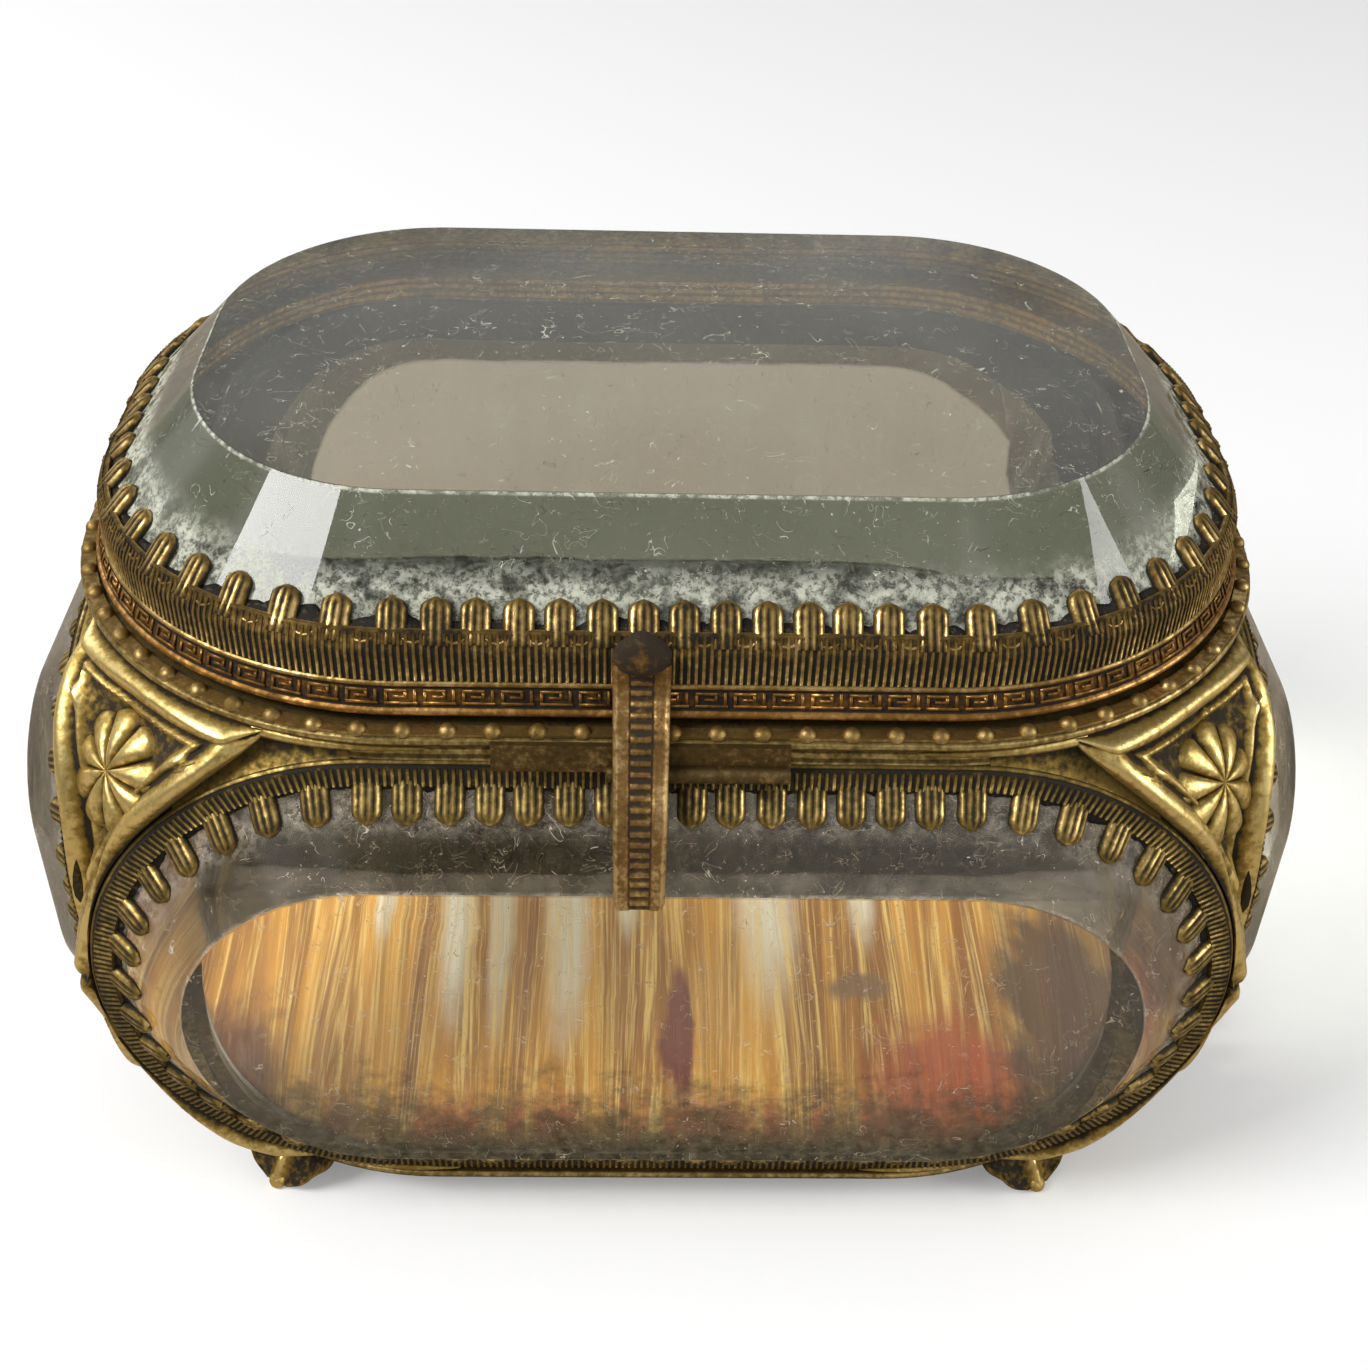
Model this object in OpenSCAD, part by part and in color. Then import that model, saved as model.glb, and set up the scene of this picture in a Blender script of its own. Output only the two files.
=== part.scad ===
// Bevelled glass casket: a hinged glass lid over four bevelled glass sides, each held by a brass gallery of
// round-tipped prongs, with stamped rosette corners, a beaded rim, a sprung clasp and a padded silk floor.
// +Z is up, the front with the clasp faces -Y, and the feet stand on Z = 0.

/* [Casket] */
// Width over the lid band
casket_w = 102; // [92:1:124]
// Depth over the lid band
casket_d = 68; // [66:1:84]
// Plan radius of the lid band's corners
corner_r = 29; // [26:0.5:32]
// Height of the framed side panels
panel_h = 53; // [46:1:66]
// How far the inner face of each side glass lies inside the lid band
panel_inset = 1; // [0.8:0.1:1.4]

/* [Glass] */
// Thickness of every glass at its ground edge
glass_edge = 2; // [1.4:0.1:2.6]
// Width of the bevel on the side glasses, in the plane of the glass
side_bevel_w = 7.4; // [6.6:0.2:7.6]
// Depth of the bevel on the side glasses
side_bevel_h = 6.6; // [5.4:0.2:7.2]
// Width of the bevel on the lid glass
lid_bevel_w = 8.6; // [7:0.2:10]
// Depth of the bevel on the lid glass
lid_bevel_h = 8.8; // [6:0.2:10]
// Corner radius of the flat face of each end glass
end_table_r = 11; // [8:0.5:15]

/* [Brass] */
// Thickness of the pressed sheet
sheet_t = 0.7; // [0.5:0.05:0.8]
// Spacing of the prongs round each glass
prong_pitch = 4; // [3.6:0.1:5]
// Width of a prong
prong_w = 2.2; // [1.6:0.1:2.6]
// Length of a lid prong past the band
lid_prong_len = 3.2; // [2.4:0.1:4]
// Length of a side prong past the band
side_prong_len = 3.7; // [2.8:0.1:4.4]
// Width of the ribbed band round each side glass
ribbed_w = 2.2; // [1.8:0.1:2.4]
// Height of the ribbed band of the lid
lid_ribbed_h = 3.2; // [2.6:0.1:4]
// Height of the fret band of the lid
lid_fret_h = 2.6; // [2.4:0.1:3.4]
// How far the fret band flares outward
fret_flare = 0.8; // [0.4:0.1:0.9]

/* [Rim] */
// Height of the rim moulding
rim_h = 3.3; // [3:0.1:4.5]
// How far the rolled edge of the rim stands outside the lid band
rim_reach = 2.2; // [2.1:0.1:2.8]
// Radius of the rim's rolled edge
rim_roll_r = 0.5; // [0.4:0.05:0.6]
// Diameter of a bead
bead_d = 1.6; // [1.4:0.1:2]
// Spacing of the beads
bead_pitch = 3.6; // [3:0.1:5]

/* [Hinge and clasp] */
// Length of the hinge
hinge_len = 22; // [16:1:30]
// Outer diameter of a knuckle
knuckle_d = 3; // [2.6:0.1:3.2]
// Diameter of the hinge pin
pin_d = 1.2; // [1:0.1:1.4]
// Radial clearance of the pin in the lid's knuckles
pin_clearance = 0.05; // [0.02:0.01:0.09]
// Place of the clasp to the right of the middle
clasp_x = -2.5; // [-5:0.5:5]
// Width of the clasp tongue
tongue_w = 4.2; // [3:0.1:6]
// Length of the tongue below the rim
tongue_drop = 13; // [9:0.5:18]
// Length of the catch plate
catch_len = 24; // [16:1:30]

/* [Base and feet] */
// Height of the feet
foot_h = 4.6; // [3.6:0.1:6]
// Width of a foot where it meets the base
foot_w = 10; // [7:0.5:11]
// Thickness of the base rim
base_t = 0.8; // [0.6:0.1:1.2]

/* [Lining] */
// Thickness of the card under the padding
card_t = 1; // [0.6:0.1:1.6]
// Height of the padding at its edge
pad_edge_h = 3.5; // [2.5:0.5:5]
// Rise of the padding from its edge to its crown
pad_crown = 3; // [1:0.5:5]
// Number of soft channels across the silk
channel_count = 9; // [5:1:12]

/* [Hidden] */
$fn = 72;

// Clearance of brass round glass, and of one flat piece on the next
seat_gap = 0.05;
// Clearance between pieces on the two sides of the hinge
lid_gap = 0.2;

// Plan of the lid band's outer face: half width, half depth, corner radius
band_a = casket_w / 2;
band_b = casket_d / 2;
band_r = corner_r;

// Side panels: inner planes, then the flat face (table) of each glass
end_plane = band_a - panel_inset;
front_plane = band_b - panel_inset;
prong_root_in = 0.4;
bezel_reach = side_bevel_w - prong_root_in + ribbed_w;
band_back = 1.2;
frame_gap = 0.15;
table_b = panel_h / 2 - bezel_reach;
front_a = end_plane + band_back - bezel_reach;
end_a = front_plane - sheet_t - seat_gap - frame_gap - bezel_reach;
end_r = min(end_table_r, table_b, end_a);

// Heights
base_top = foot_h + base_t;
panel_z = base_top + panel_h / 2;
rim_z = base_top + panel_h;
ledge_z = rim_z + rim_h;
lid_z = ledge_z + bead_d / 2 + lid_gap / 2;
root_z = lid_z + lid_fret_h + lid_ribbed_h;
lid_glass_z = root_z - glass_edge + 0.1;
band_wire_r = 0.25;

// Flat face of the lid glass
lid_inset = lid_bevel_w + sheet_t + seat_gap;
lid_a = band_a - lid_inset;
lid_b = band_b - lid_inset;
lid_r = band_r - lid_inset;

// Outer face of the ribbed band of a side bezel at its outer edge, above the inner plane of the glass
band_face = 2.4;

// Hinge axis
rim_out = rim_reach + rim_roll_r;
hinge_y = band_b + rim_out;
hinge_z = lid_z + lid_fret_h + 0.3 - knuckle_d / 2;
knuckle_count = 5;
knuckle_gap = 0.15;

// The tongue's outer face reaches past the front glass, so the frame is centred between front and rear
glass_reach = front_plane + glass_edge + side_bevel_h;
tongue_reach = glass_reach + 0.3 + sheet_t;
frame_shift = (tongue_reach - glass_reach) / 2;

// Length round a rounded rectangle of half width a, half depth b and corner radius r
function round_length(a, b, r) = 4 * (a - r) + 4 * (b - r) + 2 * PI * r;

// Point and outward angle at arc length s round that rectangle, from the middle of its front side
function round_point(s, a, b, r) =
    let (quarter = (a - r) + PI * r / 2 + (b - r))
    s >= 2 * quarter ?
        let (p = round_point(s - 2 * quarter, a, b, r)) [-p[0], -p[1], p[2] + 180]
    : s > quarter ?
        let (p = round_point(2 * quarter - s, a, b, r)) [p[0], -p[1], -p[2]]
    : s < a - r ?
        [s, -b, -90]
    : s < a - r + PI * r / 2 ?
        let (t = (s - (a - r)) / r * 180 / PI) [a - r + r * sin(t), -(b - r) - r * cos(t), t - 90]
    :
        [a, s - (a - r) - PI * r / 2 - (b - r), 0];

function mix(p, q, t) = p * (1 - t) + q * t;
function unit(v) = v / norm(v);

// Places everything so that the bounding box is centred on the origin
module in_frame() {
    translate([0, frame_shift, 0]) children();
}

// Sweeps a profile round a rounded rectangle: x is the distance outside it, y becomes z
module round_sweep(a, b, r) {
    for (quarter = [0:3]) {
        side_x = quarter == 0 || quarter == 3 ? 1 : -1;
        side_y = quarter < 2 ? 1 : -1;
        translate([side_x * (a - r), side_y * (b - r), 0]) rotate([0, 0, quarter * 90])
            rotate_extrude(angle = 90) translate([r, 0]) children();
    }
    for (turn = [0, 180]) {
        if (a > r + 0.01) {
            rotate([0, 0, turn]) translate([r - a, b - r, 0]) rotate([90, 0, 90])
                linear_extrude(2 * (a - r)) translate([r, 0]) children();
        }
        if (b > r + 0.01) {
            rotate([0, 0, turn]) translate([a - r, b - r, 0]) rotate([90, 0, 0])
                linear_extrude(2 * (b - r)) translate([r, 0]) children();
        }
    }
}

// Half profile of a bevelled plate, from distance inner inside the flat face out to the ground edge
module bevel_profile(inner, bevel_w, bevel_h) {
    polygon([[-inner, 0], [bevel_w, 0], [bevel_w, glass_edge], [0, glass_edge + bevel_h],
        [-inner, glass_edge + bevel_h]]);
}

// Bevelled plate with its back on z = 0 and a flat face of a x b half size
module bevelled_plate(a, b, r, bevel_w, bevel_h) {
    round_sweep(a, b, r) bevel_profile(r, bevel_w, bevel_h);
    if (a > r + 0.01 && b > r + 0.01) {
        translate([r - a, r - b, 0]) cube([2 * (a - r), 2 * (b - r), glass_edge + bevel_h]);
    }
}

// One prong, a bar with a round tip that points along +x
module prong_bar(length) {
    tuck = 0.5;
    linear_extrude(sheet_t - 0.1) {
        translate([-tuck, -prong_w / 2]) square([length + tuck - prong_w / 2, prong_w]);
        translate([length - prong_w / 2, 0]) circle(prong_w / 2);
    }
}

// Prongs on a bevel round a flat face, rooted at distance root outside it, the first at the given start
module prong_row(a, b, r, bevel_w, bevel_h, root, length, start) {
    slope = atan2(bevel_h, bevel_w);
    count = round(round_length(a + root, b + root, r + root) / prong_pitch);
    step = round_length(a, b, r) / count;
    root_z_local = glass_edge + bevel_h * (bevel_w - root) / bevel_w;
    lift = seat_gap + 0.05;
    for (i = [0:count - 1]) {
        p = round_point(start + i * step, a, b, r);
        translate([p[0], p[1], 0]) rotate([0, 0, p[2]])
            translate([root + lift * sin(slope), 0, root_z_local + lift * cos(slope)])
            rotate([0, slope, 0]) rotate([0, 0, 180]) prong_bar(length);
    }
}

module lid_glass() {
    color([0.80, 0.86, 0.83, 0.45]) in_frame() translate([0, 0, lid_glass_z])
        bevelled_plate(lid_a, lid_b, lid_r, lid_bevel_w, lid_bevel_h);
}

// Section of the lid band: fret flare, ribbed band and the lip that is turned over the bevel
module lid_band_profile() {
    inner = lid_bevel_w + seat_gap;
    outer = inner + sheet_t;
    fret_top = lid_z + lid_fret_h;
    bevel_foot = lid_glass_z + glass_edge;
    lip = 0.6;
    rise = lip * lid_bevel_h / lid_bevel_w;
    polygon([[inner + fret_flare, lid_z], [outer + fret_flare, lid_z], [outer + fret_flare, lid_z + 0.5],
        [outer, fret_top], [outer, root_z], [inner - lip + 0.45, bevel_foot + rise + 0.75],
        [inner - lip, bevel_foot + rise + 0.3], [inner, bevel_foot + 0.3], [inner, fret_top]]);
    translate([outer + fret_flare - 0.1, lid_z + 0.35]) circle(0.35);
    translate([outer, fret_top]) circle(band_wire_r);
}

module lid_bezel() {
    color([0.60, 0.45, 0.18]) in_frame() {
        round_sweep(lid_a, lid_b, lid_r) lid_band_profile();
        translate([0, 0, lid_glass_z])
            prong_row(lid_a, lid_b, lid_r, lid_bevel_w, lid_bevel_h, lid_bevel_w - 0.4, lid_prong_len,
                clasp_x);
    }
}

// Angle-section ring inside the lid band, with its foot just clear of the rim's ledge
module lid_seat_ring() {
    inner = lid_bevel_w - sheet_t - seat_gap;
    shelf = 3.4;
    color([0.52, 0.38, 0.15]) in_frame() round_sweep(lid_a, lid_b, lid_r) {
        translate([inner, ledge_z + lid_gap / 2])
            square([sheet_t, lid_glass_z - ledge_z - lid_gap / 2 - seat_gap]);
        translate([inner - shelf, lid_glass_z - sheet_t - seat_gap]) square([shelf + sheet_t / 2, sheet_t]);
    }
}

// Centre line of the tongue as [distance outside the lid band, height]
function tongue_line() =
    let (front = tongue_reach - sheet_t / 2 - band_b, close = sheet_t / 2 + band_wire_r + 0.02)
    [[close, root_z - 0.4], [close, lid_z + lid_fret_h + 0.4], [fret_flare + 0.9, lid_z + 1.3],
        [rim_out + 0.6, lid_z], [rim_out + 1.5, ledge_z - 0.9], [rim_out + 2.2, rim_z + 1.2],
        [front - 1.4, rim_z - 1.6], [front - 0.6, rim_z - 4.5], [front - 0.1, rim_z - 8],
        [front, rim_z + rim_h - tongue_drop]];

// Smooth line through the points, with the given number of steps in each span
function smooth_line(points, steps) =
    let (last = len(points) - 1)
    [for (i = [0:last - 1], k = [0:steps - (i == last - 1 ? 0 : 1)])
        let (
            t = k / steps,
            p0 = points[max(i - 1, 0)], p1 = points[i], p2 = points[i + 1], p3 = points[min(i + 2, last)]
        )
        0.5 * (2 * p1 + (p2 - p0) * t + (2 * p0 - 5 * p1 + 4 * p2 - p3) * t * t
            + (3 * p1 - p0 - 3 * p2 + p3) * t * t * t)];

// Outline of a strip of thickness t along a line
function strip_outline(points, t) =
    let (
        last = len(points) - 1,
        normals = [for (i = [0:last])
            let (d = unit(points[min(i + 1, last)] - points[max(i - 1, 0)])) [-d[1], d[0]]]
    )
    concat([for (i = [0:last]) points[i] + normals[i] * t / 2],
        [for (i = [last:-1:0]) points[i] - normals[i] * t / 2]);

// Shoulder at the head of the tongue: a round-topped plate on the front of the lid band
module tongue_shoulder() {
    neck_r = 1.3;
    rise = 1.3;
    half_w = tongue_w / 2 + 0.2;
    rotate([90, 0, 0]) linear_extrude(sheet_t + 0.5) {
        translate([0, root_z + rise]) circle(neck_r);
        polygon([[-neck_r, root_z + rise], [-half_w, root_z - 0.7], [-half_w, root_z - 1.4],
            [half_w, root_z - 1.4], [half_w, root_z - 0.7], [neck_r, root_z + rise]]);
    }
}

module clasp_tongue() {
    color([0.66, 0.50, 0.20]) in_frame() translate([clasp_x, -band_b, 0]) {
        translate([-tongue_w / 2, 0, 0]) rotate([90, 0, 90]) linear_extrude(tongue_w)
            mirror([1, 0]) polygon(strip_outline(smooth_line(tongue_line(), 4), sheet_t));
        translate([0, -band_wire_r - 0.02, 0]) tongue_shoulder();
    }
}

// Knuckles of one leaf: every second knuckle, starting with the given one
module knuckles(first, bore_r) {
    pitch = hinge_len / knuckle_count;
    for (i = [first:2:knuckle_count - 1]) {
        translate([-hinge_len / 2 + i * pitch + knuckle_gap / 2, hinge_y, hinge_z]) rotate([0, 90, 0])
            difference() {
                cylinder(d = knuckle_d, h = pitch - knuckle_gap);
                translate([0, 0, -1]) cylinder(r = bore_r, h = pitch + 2);
            }
    }
}

// Webs that join a leaf's plate to its knuckles, clear of the pin
module knuckle_webs(first, low_y, high_y, low_z, high_z) {
    pitch = hinge_len / knuckle_count;
    for (i = [first:2:knuckle_count - 1]) {
        translate([-hinge_len / 2 + i * pitch + knuckle_gap / 2, low_y, low_z])
            cube([pitch - knuckle_gap, high_y - low_y, high_z - low_z]);
    }
}

module hinge_lid_leaf() {
    leaf_y = band_b + band_wire_r + 0.02;
    flange_z = hinge_z + pin_d / 2 + 0.25;
    color([0.55, 0.42, 0.18]) in_frame() {
        knuckles(1, pin_d / 2 + pin_clearance);
        knuckle_webs(1, leaf_y, hinge_y, flange_z, hinge_z + knuckle_d / 2);
        translate([-hinge_len / 2, leaf_y, flange_z]) cube([hinge_len, sheet_t, root_z - flange_z - 0.6]);
    }
}

module hinge_body_leaf() {
    leaf_y = hinge_y + 0.02;
    foot_y = band_b + rim_foot_x + 0.1;
    color([0.55, 0.42, 0.18]) in_frame() {
        knuckles(0, pin_d / 2 + 0.01);
        knuckle_webs(0, leaf_y, leaf_y + sheet_t, rim_z + 0.4, hinge_z - pin_d / 2 - 0.25);
        translate([-hinge_len / 2, leaf_y, rim_z + 0.4])
            cube([hinge_len, sheet_t, hinge_z - knuckle_d / 2 - rim_z - 0.6]);
        translate([-hinge_len / 2, foot_y, rim_z + 0.02])
            cube([hinge_len, leaf_y - foot_y + sheet_t, sheet_t]);
    }
}

module hinge_pin() {
    head = 0.5;
    color([0.48, 0.36, 0.16]) in_frame() translate([-hinge_len / 2 - head, hinge_y, hinge_z])
        rotate([0, 90, 0]) {
            cylinder(d = pin_d, h = hinge_len + 2 * head);
            cylinder(d = pin_d + 0.8, h = head);
            translate([0, 0, hinge_len + head]) cylinder(d = pin_d + 0.8, h = head);
        }
}

// Section of the rim: ledge, rolled edge, coved wall down to the bezels and a short inner flange
rim_foot_x = band_face - panel_inset;

module rim_profile() {
    ledge_in = 4.6;
    cove_d = 0.35;
    cove_h = rim_h - 2 * rim_roll_r;
    cove_out = [for (t = [0:15:180]) [rim_foot_x - cove_d * sin(t), rim_z + cove_h * t / 180]];
    cove_back = [for (t = [165:-15:0]) [rim_foot_x - sheet_t - cove_d * sin(t), rim_z + cove_h * t / 180]];
    flange_h = 2.4;
    polygon(concat(cove_out,
        [[rim_reach, ledge_z - 1.5 * rim_roll_r], [rim_reach, ledge_z], [-ledge_in, ledge_z],
            [-ledge_in, ledge_z - flange_h], [sheet_t - ledge_in, ledge_z - flange_h],
            [sheet_t - ledge_in, ledge_z - sheet_t], [rim_foot_x - sheet_t - 0.3, ledge_z - sheet_t]],
        cove_back));
    translate([rim_reach, ledge_z - rim_roll_r]) circle(rim_roll_r);
}

module top_rim() {
    color([0.58, 0.43, 0.17]) in_frame() round_sweep(band_a, band_b, band_r) rim_profile();
}

// Half-round beads on a thin strip, all round the ledge just outside the lid
module bead_border() {
    offset_out = rim_out - 0.1 - bead_d / 2;
    a = band_a + offset_out;
    b = band_b + offset_out;
    r = band_r + offset_out;
    strip_t = 0.25;
    count = round(round_length(a, b, r) / bead_pitch);
    step = round_length(a, b, r) / count;
    gap_at_hinge = hinge_len / 2 + bead_pitch;
    color([0.66, 0.50, 0.22]) in_frame() translate([0, 0, ledge_z + 0.01]) {
        round_sweep(a, b, r) translate([-0.6, 0]) square([1.2, strip_t]);
        intersection() {
            union() {
                for (i = [0:count - 1]) {
                    p = round_point(i * step, a, b, r);
                    if (p[1] < 0 || abs(p[0]) > gap_at_hinge) {
                        translate([p[0], p[1], 0]) sphere(d = bead_d);
                    }
                }
            }
            translate([-a - 3, -b - 3, 0]) cube([2 * a + 6, 2 * b + 6, bead_d]);
        }
    }
}

// Plate on the rim's front, its lower edge rolled forward from the tongue to the right end
module catch_plate() {
    roll_r = 0.7;
    plate_t = 0.5;
    roll_x = -tongue_w / 2 - 0.6;
    low_z = rim_z + 0.5;
    color([0.42, 0.32, 0.14]) in_frame() translate([clasp_x, -hinge_y - 0.02, 0]) {
        translate([-catch_len / 2, -plate_t, low_z]) cube([catch_len, plate_t, ledge_z - low_z - 0.1]);
        translate([roll_x, -roll_r, low_z]) rotate([0, 90, 0]) difference() {
            cylinder(r = roll_r, h = catch_len / 2 - roll_x);
            translate([0, 0, -1]) cylinder(r = roll_r * 0.4, h = catch_len);
        }
    }
}

// Section of a side bezel round the flat face of its glass: back flange, channel and ribbed band
module side_bezel_profile() {
    root = side_bevel_w - prong_root_in;
    edge = side_bevel_w + seat_gap;
    lift = glass_edge + side_bevel_h * prong_root_in / side_bevel_w;
    polygon([[side_bevel_w - 2.6, -seat_gap], [side_bevel_w - 2.6, -seat_gap - sheet_t],
        [edge + sheet_t, -seat_gap - sheet_t], [edge + sheet_t, band_face - sheet_t - 0.3],
        [bezel_reach, band_face - sheet_t], [bezel_reach, band_face],
        [bezel_reach - 0.5, band_face + 0.55], [edge, lift + 0.75],
        [root, lift + seat_gap + sheet_t + 0.1], [root, lift + seat_gap],
        [edge, glass_edge + seat_gap], [edge, -seat_gap]]);
}

module side_bezel(a, r) {
    round_sweep(a, table_b, r) side_bezel_profile();
    prong_row(a, table_b, r, side_bevel_w, side_bevel_h, side_bevel_w - prong_root_in, side_prong_len, 0);
}

// Stands a panel drawn flat at distance plane from the middle, turned to face a side
module on_side(turn, plane) {
    rotate([0, 0, turn]) translate([0, -plane, panel_z]) rotate([90, 0, 0]) children();
}

module side_glass(turn, plane, a, r) {
    color([0.78, 0.84, 0.80, 0.45]) in_frame() on_side(turn, plane)
        bevelled_plate(a, table_b, r, side_bevel_w, side_bevel_h);
}

module side_frame(turn, plane, a, r) {
    color([0.60, 0.45, 0.18]) in_frame() on_side(turn, plane) side_bezel(a, r);
}

module front_glass() {
    side_glass(0, front_plane, front_a, table_b);
}

module rear_glass() {
    side_glass(180, front_plane, front_a, table_b);
}

module left_glass() {
    side_glass(-90, end_plane, end_a, end_r);
}

module right_glass() {
    side_glass(90, end_plane, end_a, end_r);
}

module front_bezel() {
    side_frame(0, front_plane, front_a, table_b);
}

module rear_bezel() {
    side_frame(180, front_plane, front_a, table_b);
}

module left_bezel() {
    side_frame(-90, end_plane, end_a, end_r);
}

module right_bezel() {
    side_frame(90, end_plane, end_a, end_r);
}

// Faces of a closed sheet: an outer grid of points, then the same grid on its back
function grid_faces(columns, rows) =
    let (wide = rows + 1, count = (columns + 1) * wide)
    concat(
        [for (i = [0:columns - 1], j = [0:rows - 1])
            let (k = i * wide + j) each [[k, k + 1, k + wide], [k + 1, k + wide + 1, k + wide]]],
        [for (i = [0:columns - 1], j = [0:rows - 1])
            let (k = count + i * wide + j) each [[k, k + wide, k + 1], [k + 1, k + wide, k + wide + 1]]],
        [for (i = [0:columns - 1])
            let (k = i * wide, m = k + count) each [[k, k + wide, m + wide], [k, m + wide, m]]],
        [for (i = [0:columns - 1])
            let (k = i * wide + rows, m = k + count) each [[k, m + wide, k + wide], [k, m, m + wide]]],
        [for (j = [0:rows - 1])
            let (k = j, m = k + count) each [[k, m + 1, k + 1], [k, m, m + 1]]],
        [for (j = [0:rows - 1])
            let (k = columns * wide + j, m = k + count) each [[k, k + 1, m + 1], [k, m + 1, m]]]);

// Corner piece, worked out for the front right corner above mid height and mirrored to the others.
// Its sheet spans from an arc under the rim to the outer edges of the two bezels.
corner_columns = 18;
corner_gap = 0.12;
corner_tip = 1.2;
corner_swell = 1.1;
front_arc_r = table_b + bezel_reach + corner_gap;
end_arc_r = end_r + bezel_reach + corner_gap;
end_straight = table_b - end_r;
corner_lift = rim_h - 2 * rim_roll_r - 0.08;
corner_reach = rim_reach + 0.2;
front_start = acos((panel_h / 2 - corner_tip) / front_arc_r);
end_start = acos((panel_h / 2 - corner_tip - end_straight) / end_arc_r);

// Point on the front bezel's outer edge, t from 0 at its top to 1 at mid height
function front_edge(t) =
    let (turn = front_start + (90 - front_start) * t)
    [front_a - table_b + front_arc_r * sin(turn), -front_plane - band_face, front_arc_r * cos(turn)];

// Point on the end bezel's outer edge, t from 0 at mid height to 1 at its top
function end_edge(t) =
    let (arc = end_arc_r * PI * (90 - end_start) / 180, s = t * (end_straight + arc))
    s < end_straight ?
        [end_plane + band_face, -(end_a - end_r) - end_arc_r, s]
    :
        let (turn = (s - end_straight) / end_arc_r * 180 / PI)
        [end_plane + band_face, -(end_a - end_r) - end_arc_r * cos(turn),
            end_straight + end_arc_r * sin(turn)];

// Upper border of the sheet: an arc at distance reach outside the lid band, lifted above the bezels
function corner_high(i, lift, reach) =
    let (
        arc_r = band_r + reach,
        from = asin((front_edge(0)[0] - band_a + band_r) / arc_r),
        to = acos((-end_edge(1)[1] - band_b + band_r) / arc_r),
        turn = from + (to - from) * i / corner_columns
    )
    [band_a - band_r + arc_r * sin(turn), -(band_b - band_r) - arc_r * cos(turn),
        panel_h / 2 + lift - 0.02];

// Lower border of the sheet: down the front bezel's edge, across the waist and up the end bezel's edge.
// At both tips it leaves the bezel and runs up to the upper border.
function corner_low(i, lift, reach) =
    let (
        half = corner_columns / 2, sink = [0, 0, -0.5], rise = [0, 0, 0.3],
        t = i < half ? i / (half - 1) : (i - half - 1) / (half - 1),
        near = max(0, 1 - (i < half ? t : 1 - t) / 0.35),
        edge = i < half ? front_edge(t) + (t == 1 ? rise : [0, 0, 0])
            : i > half ? end_edge(t) + (t == 0 ? rise : [0, 0, 0])
            : (front_edge(1) + end_edge(0)) / 2 + [0.6, -0.6, 0] + rise
    )
    i == half ? edge : mix(edge, corner_high(i, lift, reach) + sink, near * near);

// Outward direction of the sheet at a column, and the direction of its thickness beside a bezel
function corner_out(i) =
    let (turn = 90 * i / corner_columns, lean = 0.6 * sin(2 * turn))
    unit([sin(turn), -cos(turn), lean]);
function corner_depth(i, t) =
    let (half = corner_columns / 2, beside = i < half ? [0, -1, 0] : i > half ? [1, 0, 0] : [0.7, -0.7, 0])
    mix(corner_out(i), beside, t * t * t);

// Distance of each row from the nearer border: two moulded borders with a field between
corner_rows = [0, 0.4, 1, 1.6, 2.1, 2.6, 3.1, -3.1, -2.6, -2.1, -1.6, -1, -0.4, 0];

// Distance of row j from the upper border on a line of length span
function row_at(j, span) =
    let (last = len(corner_rows) - 1, shrink = min(1, span / 7))
    j <= last / 2 ? corner_rows[j] * shrink : span + corner_rows[j] * shrink;

// Height of the moulded borders at a distance from the nearer border
function border_height(d, shrink) =
    shrink * (0.9 * max(0, 1 - pow((d - 1) / 0.95, 2)) + 0.5 * max(0, 1 - pow((d - 2.6) / 0.5, 2)));

function corner_point(i, j, depth, lift, reach) =
    let (
        high = corner_high(i, lift, reach), low = corner_low(i, lift, reach), span = norm(low - high),
        d = row_at(j, span), t = d / span, shrink = min(1, span / 7),
        swell = corner_swell * sin(180 * t) * min(1, span / 12),
        raised = depth == 0 ? border_height(min(d, span - d) / shrink, shrink) : 0
    )
    mix(high, low, t) + corner_out(i) * (swell + raised) - corner_depth(i, t) * depth;

module corner_sheet(lift, reach) {
    rows = len(corner_rows) - 1;
    points = [for (depth = [0, sheet_t], i = [corner_columns:-1:0], j = [0:rows])
        corner_point(i, j, depth, lift, reach)];
    polyhedron(points, grid_faces(corner_columns, rows));
}

// Domed rosette: a lobed boss under a shallow dome, its petals parted by grooves that run out from the middle
rosette_r = 4.3;
rosette_petals = 9;

module rosette() {
    lobe_r = 1.5;
    dome_r = 11;
    top = 1.5;
    base = -0.5;
    difference() {
        intersection() {
            translate([0, 0, base]) linear_extrude(top - base + 1) {
                circle(rosette_r - lobe_r + 0.4);
                for (k = [0:rosette_petals - 1]) {
                    rotate(360 / rosette_petals * (k + 0.5)) translate([rosette_r - lobe_r, 0])
                        circle(lobe_r);
                }
            }
            translate([0, 0, top - dome_r]) sphere(r = dome_r);
        }
        for (k = [0:rosette_petals - 1]) {
            rotate([0, 0, 360 / rosette_petals * k]) translate([0, 0, top]) rotate([0, 4.5, 0])
                rotate([90, 0, 90]) translate([0, 0, 0.5]) linear_extrude(rosette_r)
                polygon([[-0.7, 0.4], [0, -0.5], [0.7, 0.4]]);
        }
    }
}

// Turns +z to the direction that a corner's middle faces
module face_corner() {
    out = corner_out(corner_columns / 2);
    rotate([0, 0, atan2(out[1], out[0])]) rotate([0, acos(out[2]), 0]) children();
}

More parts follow.
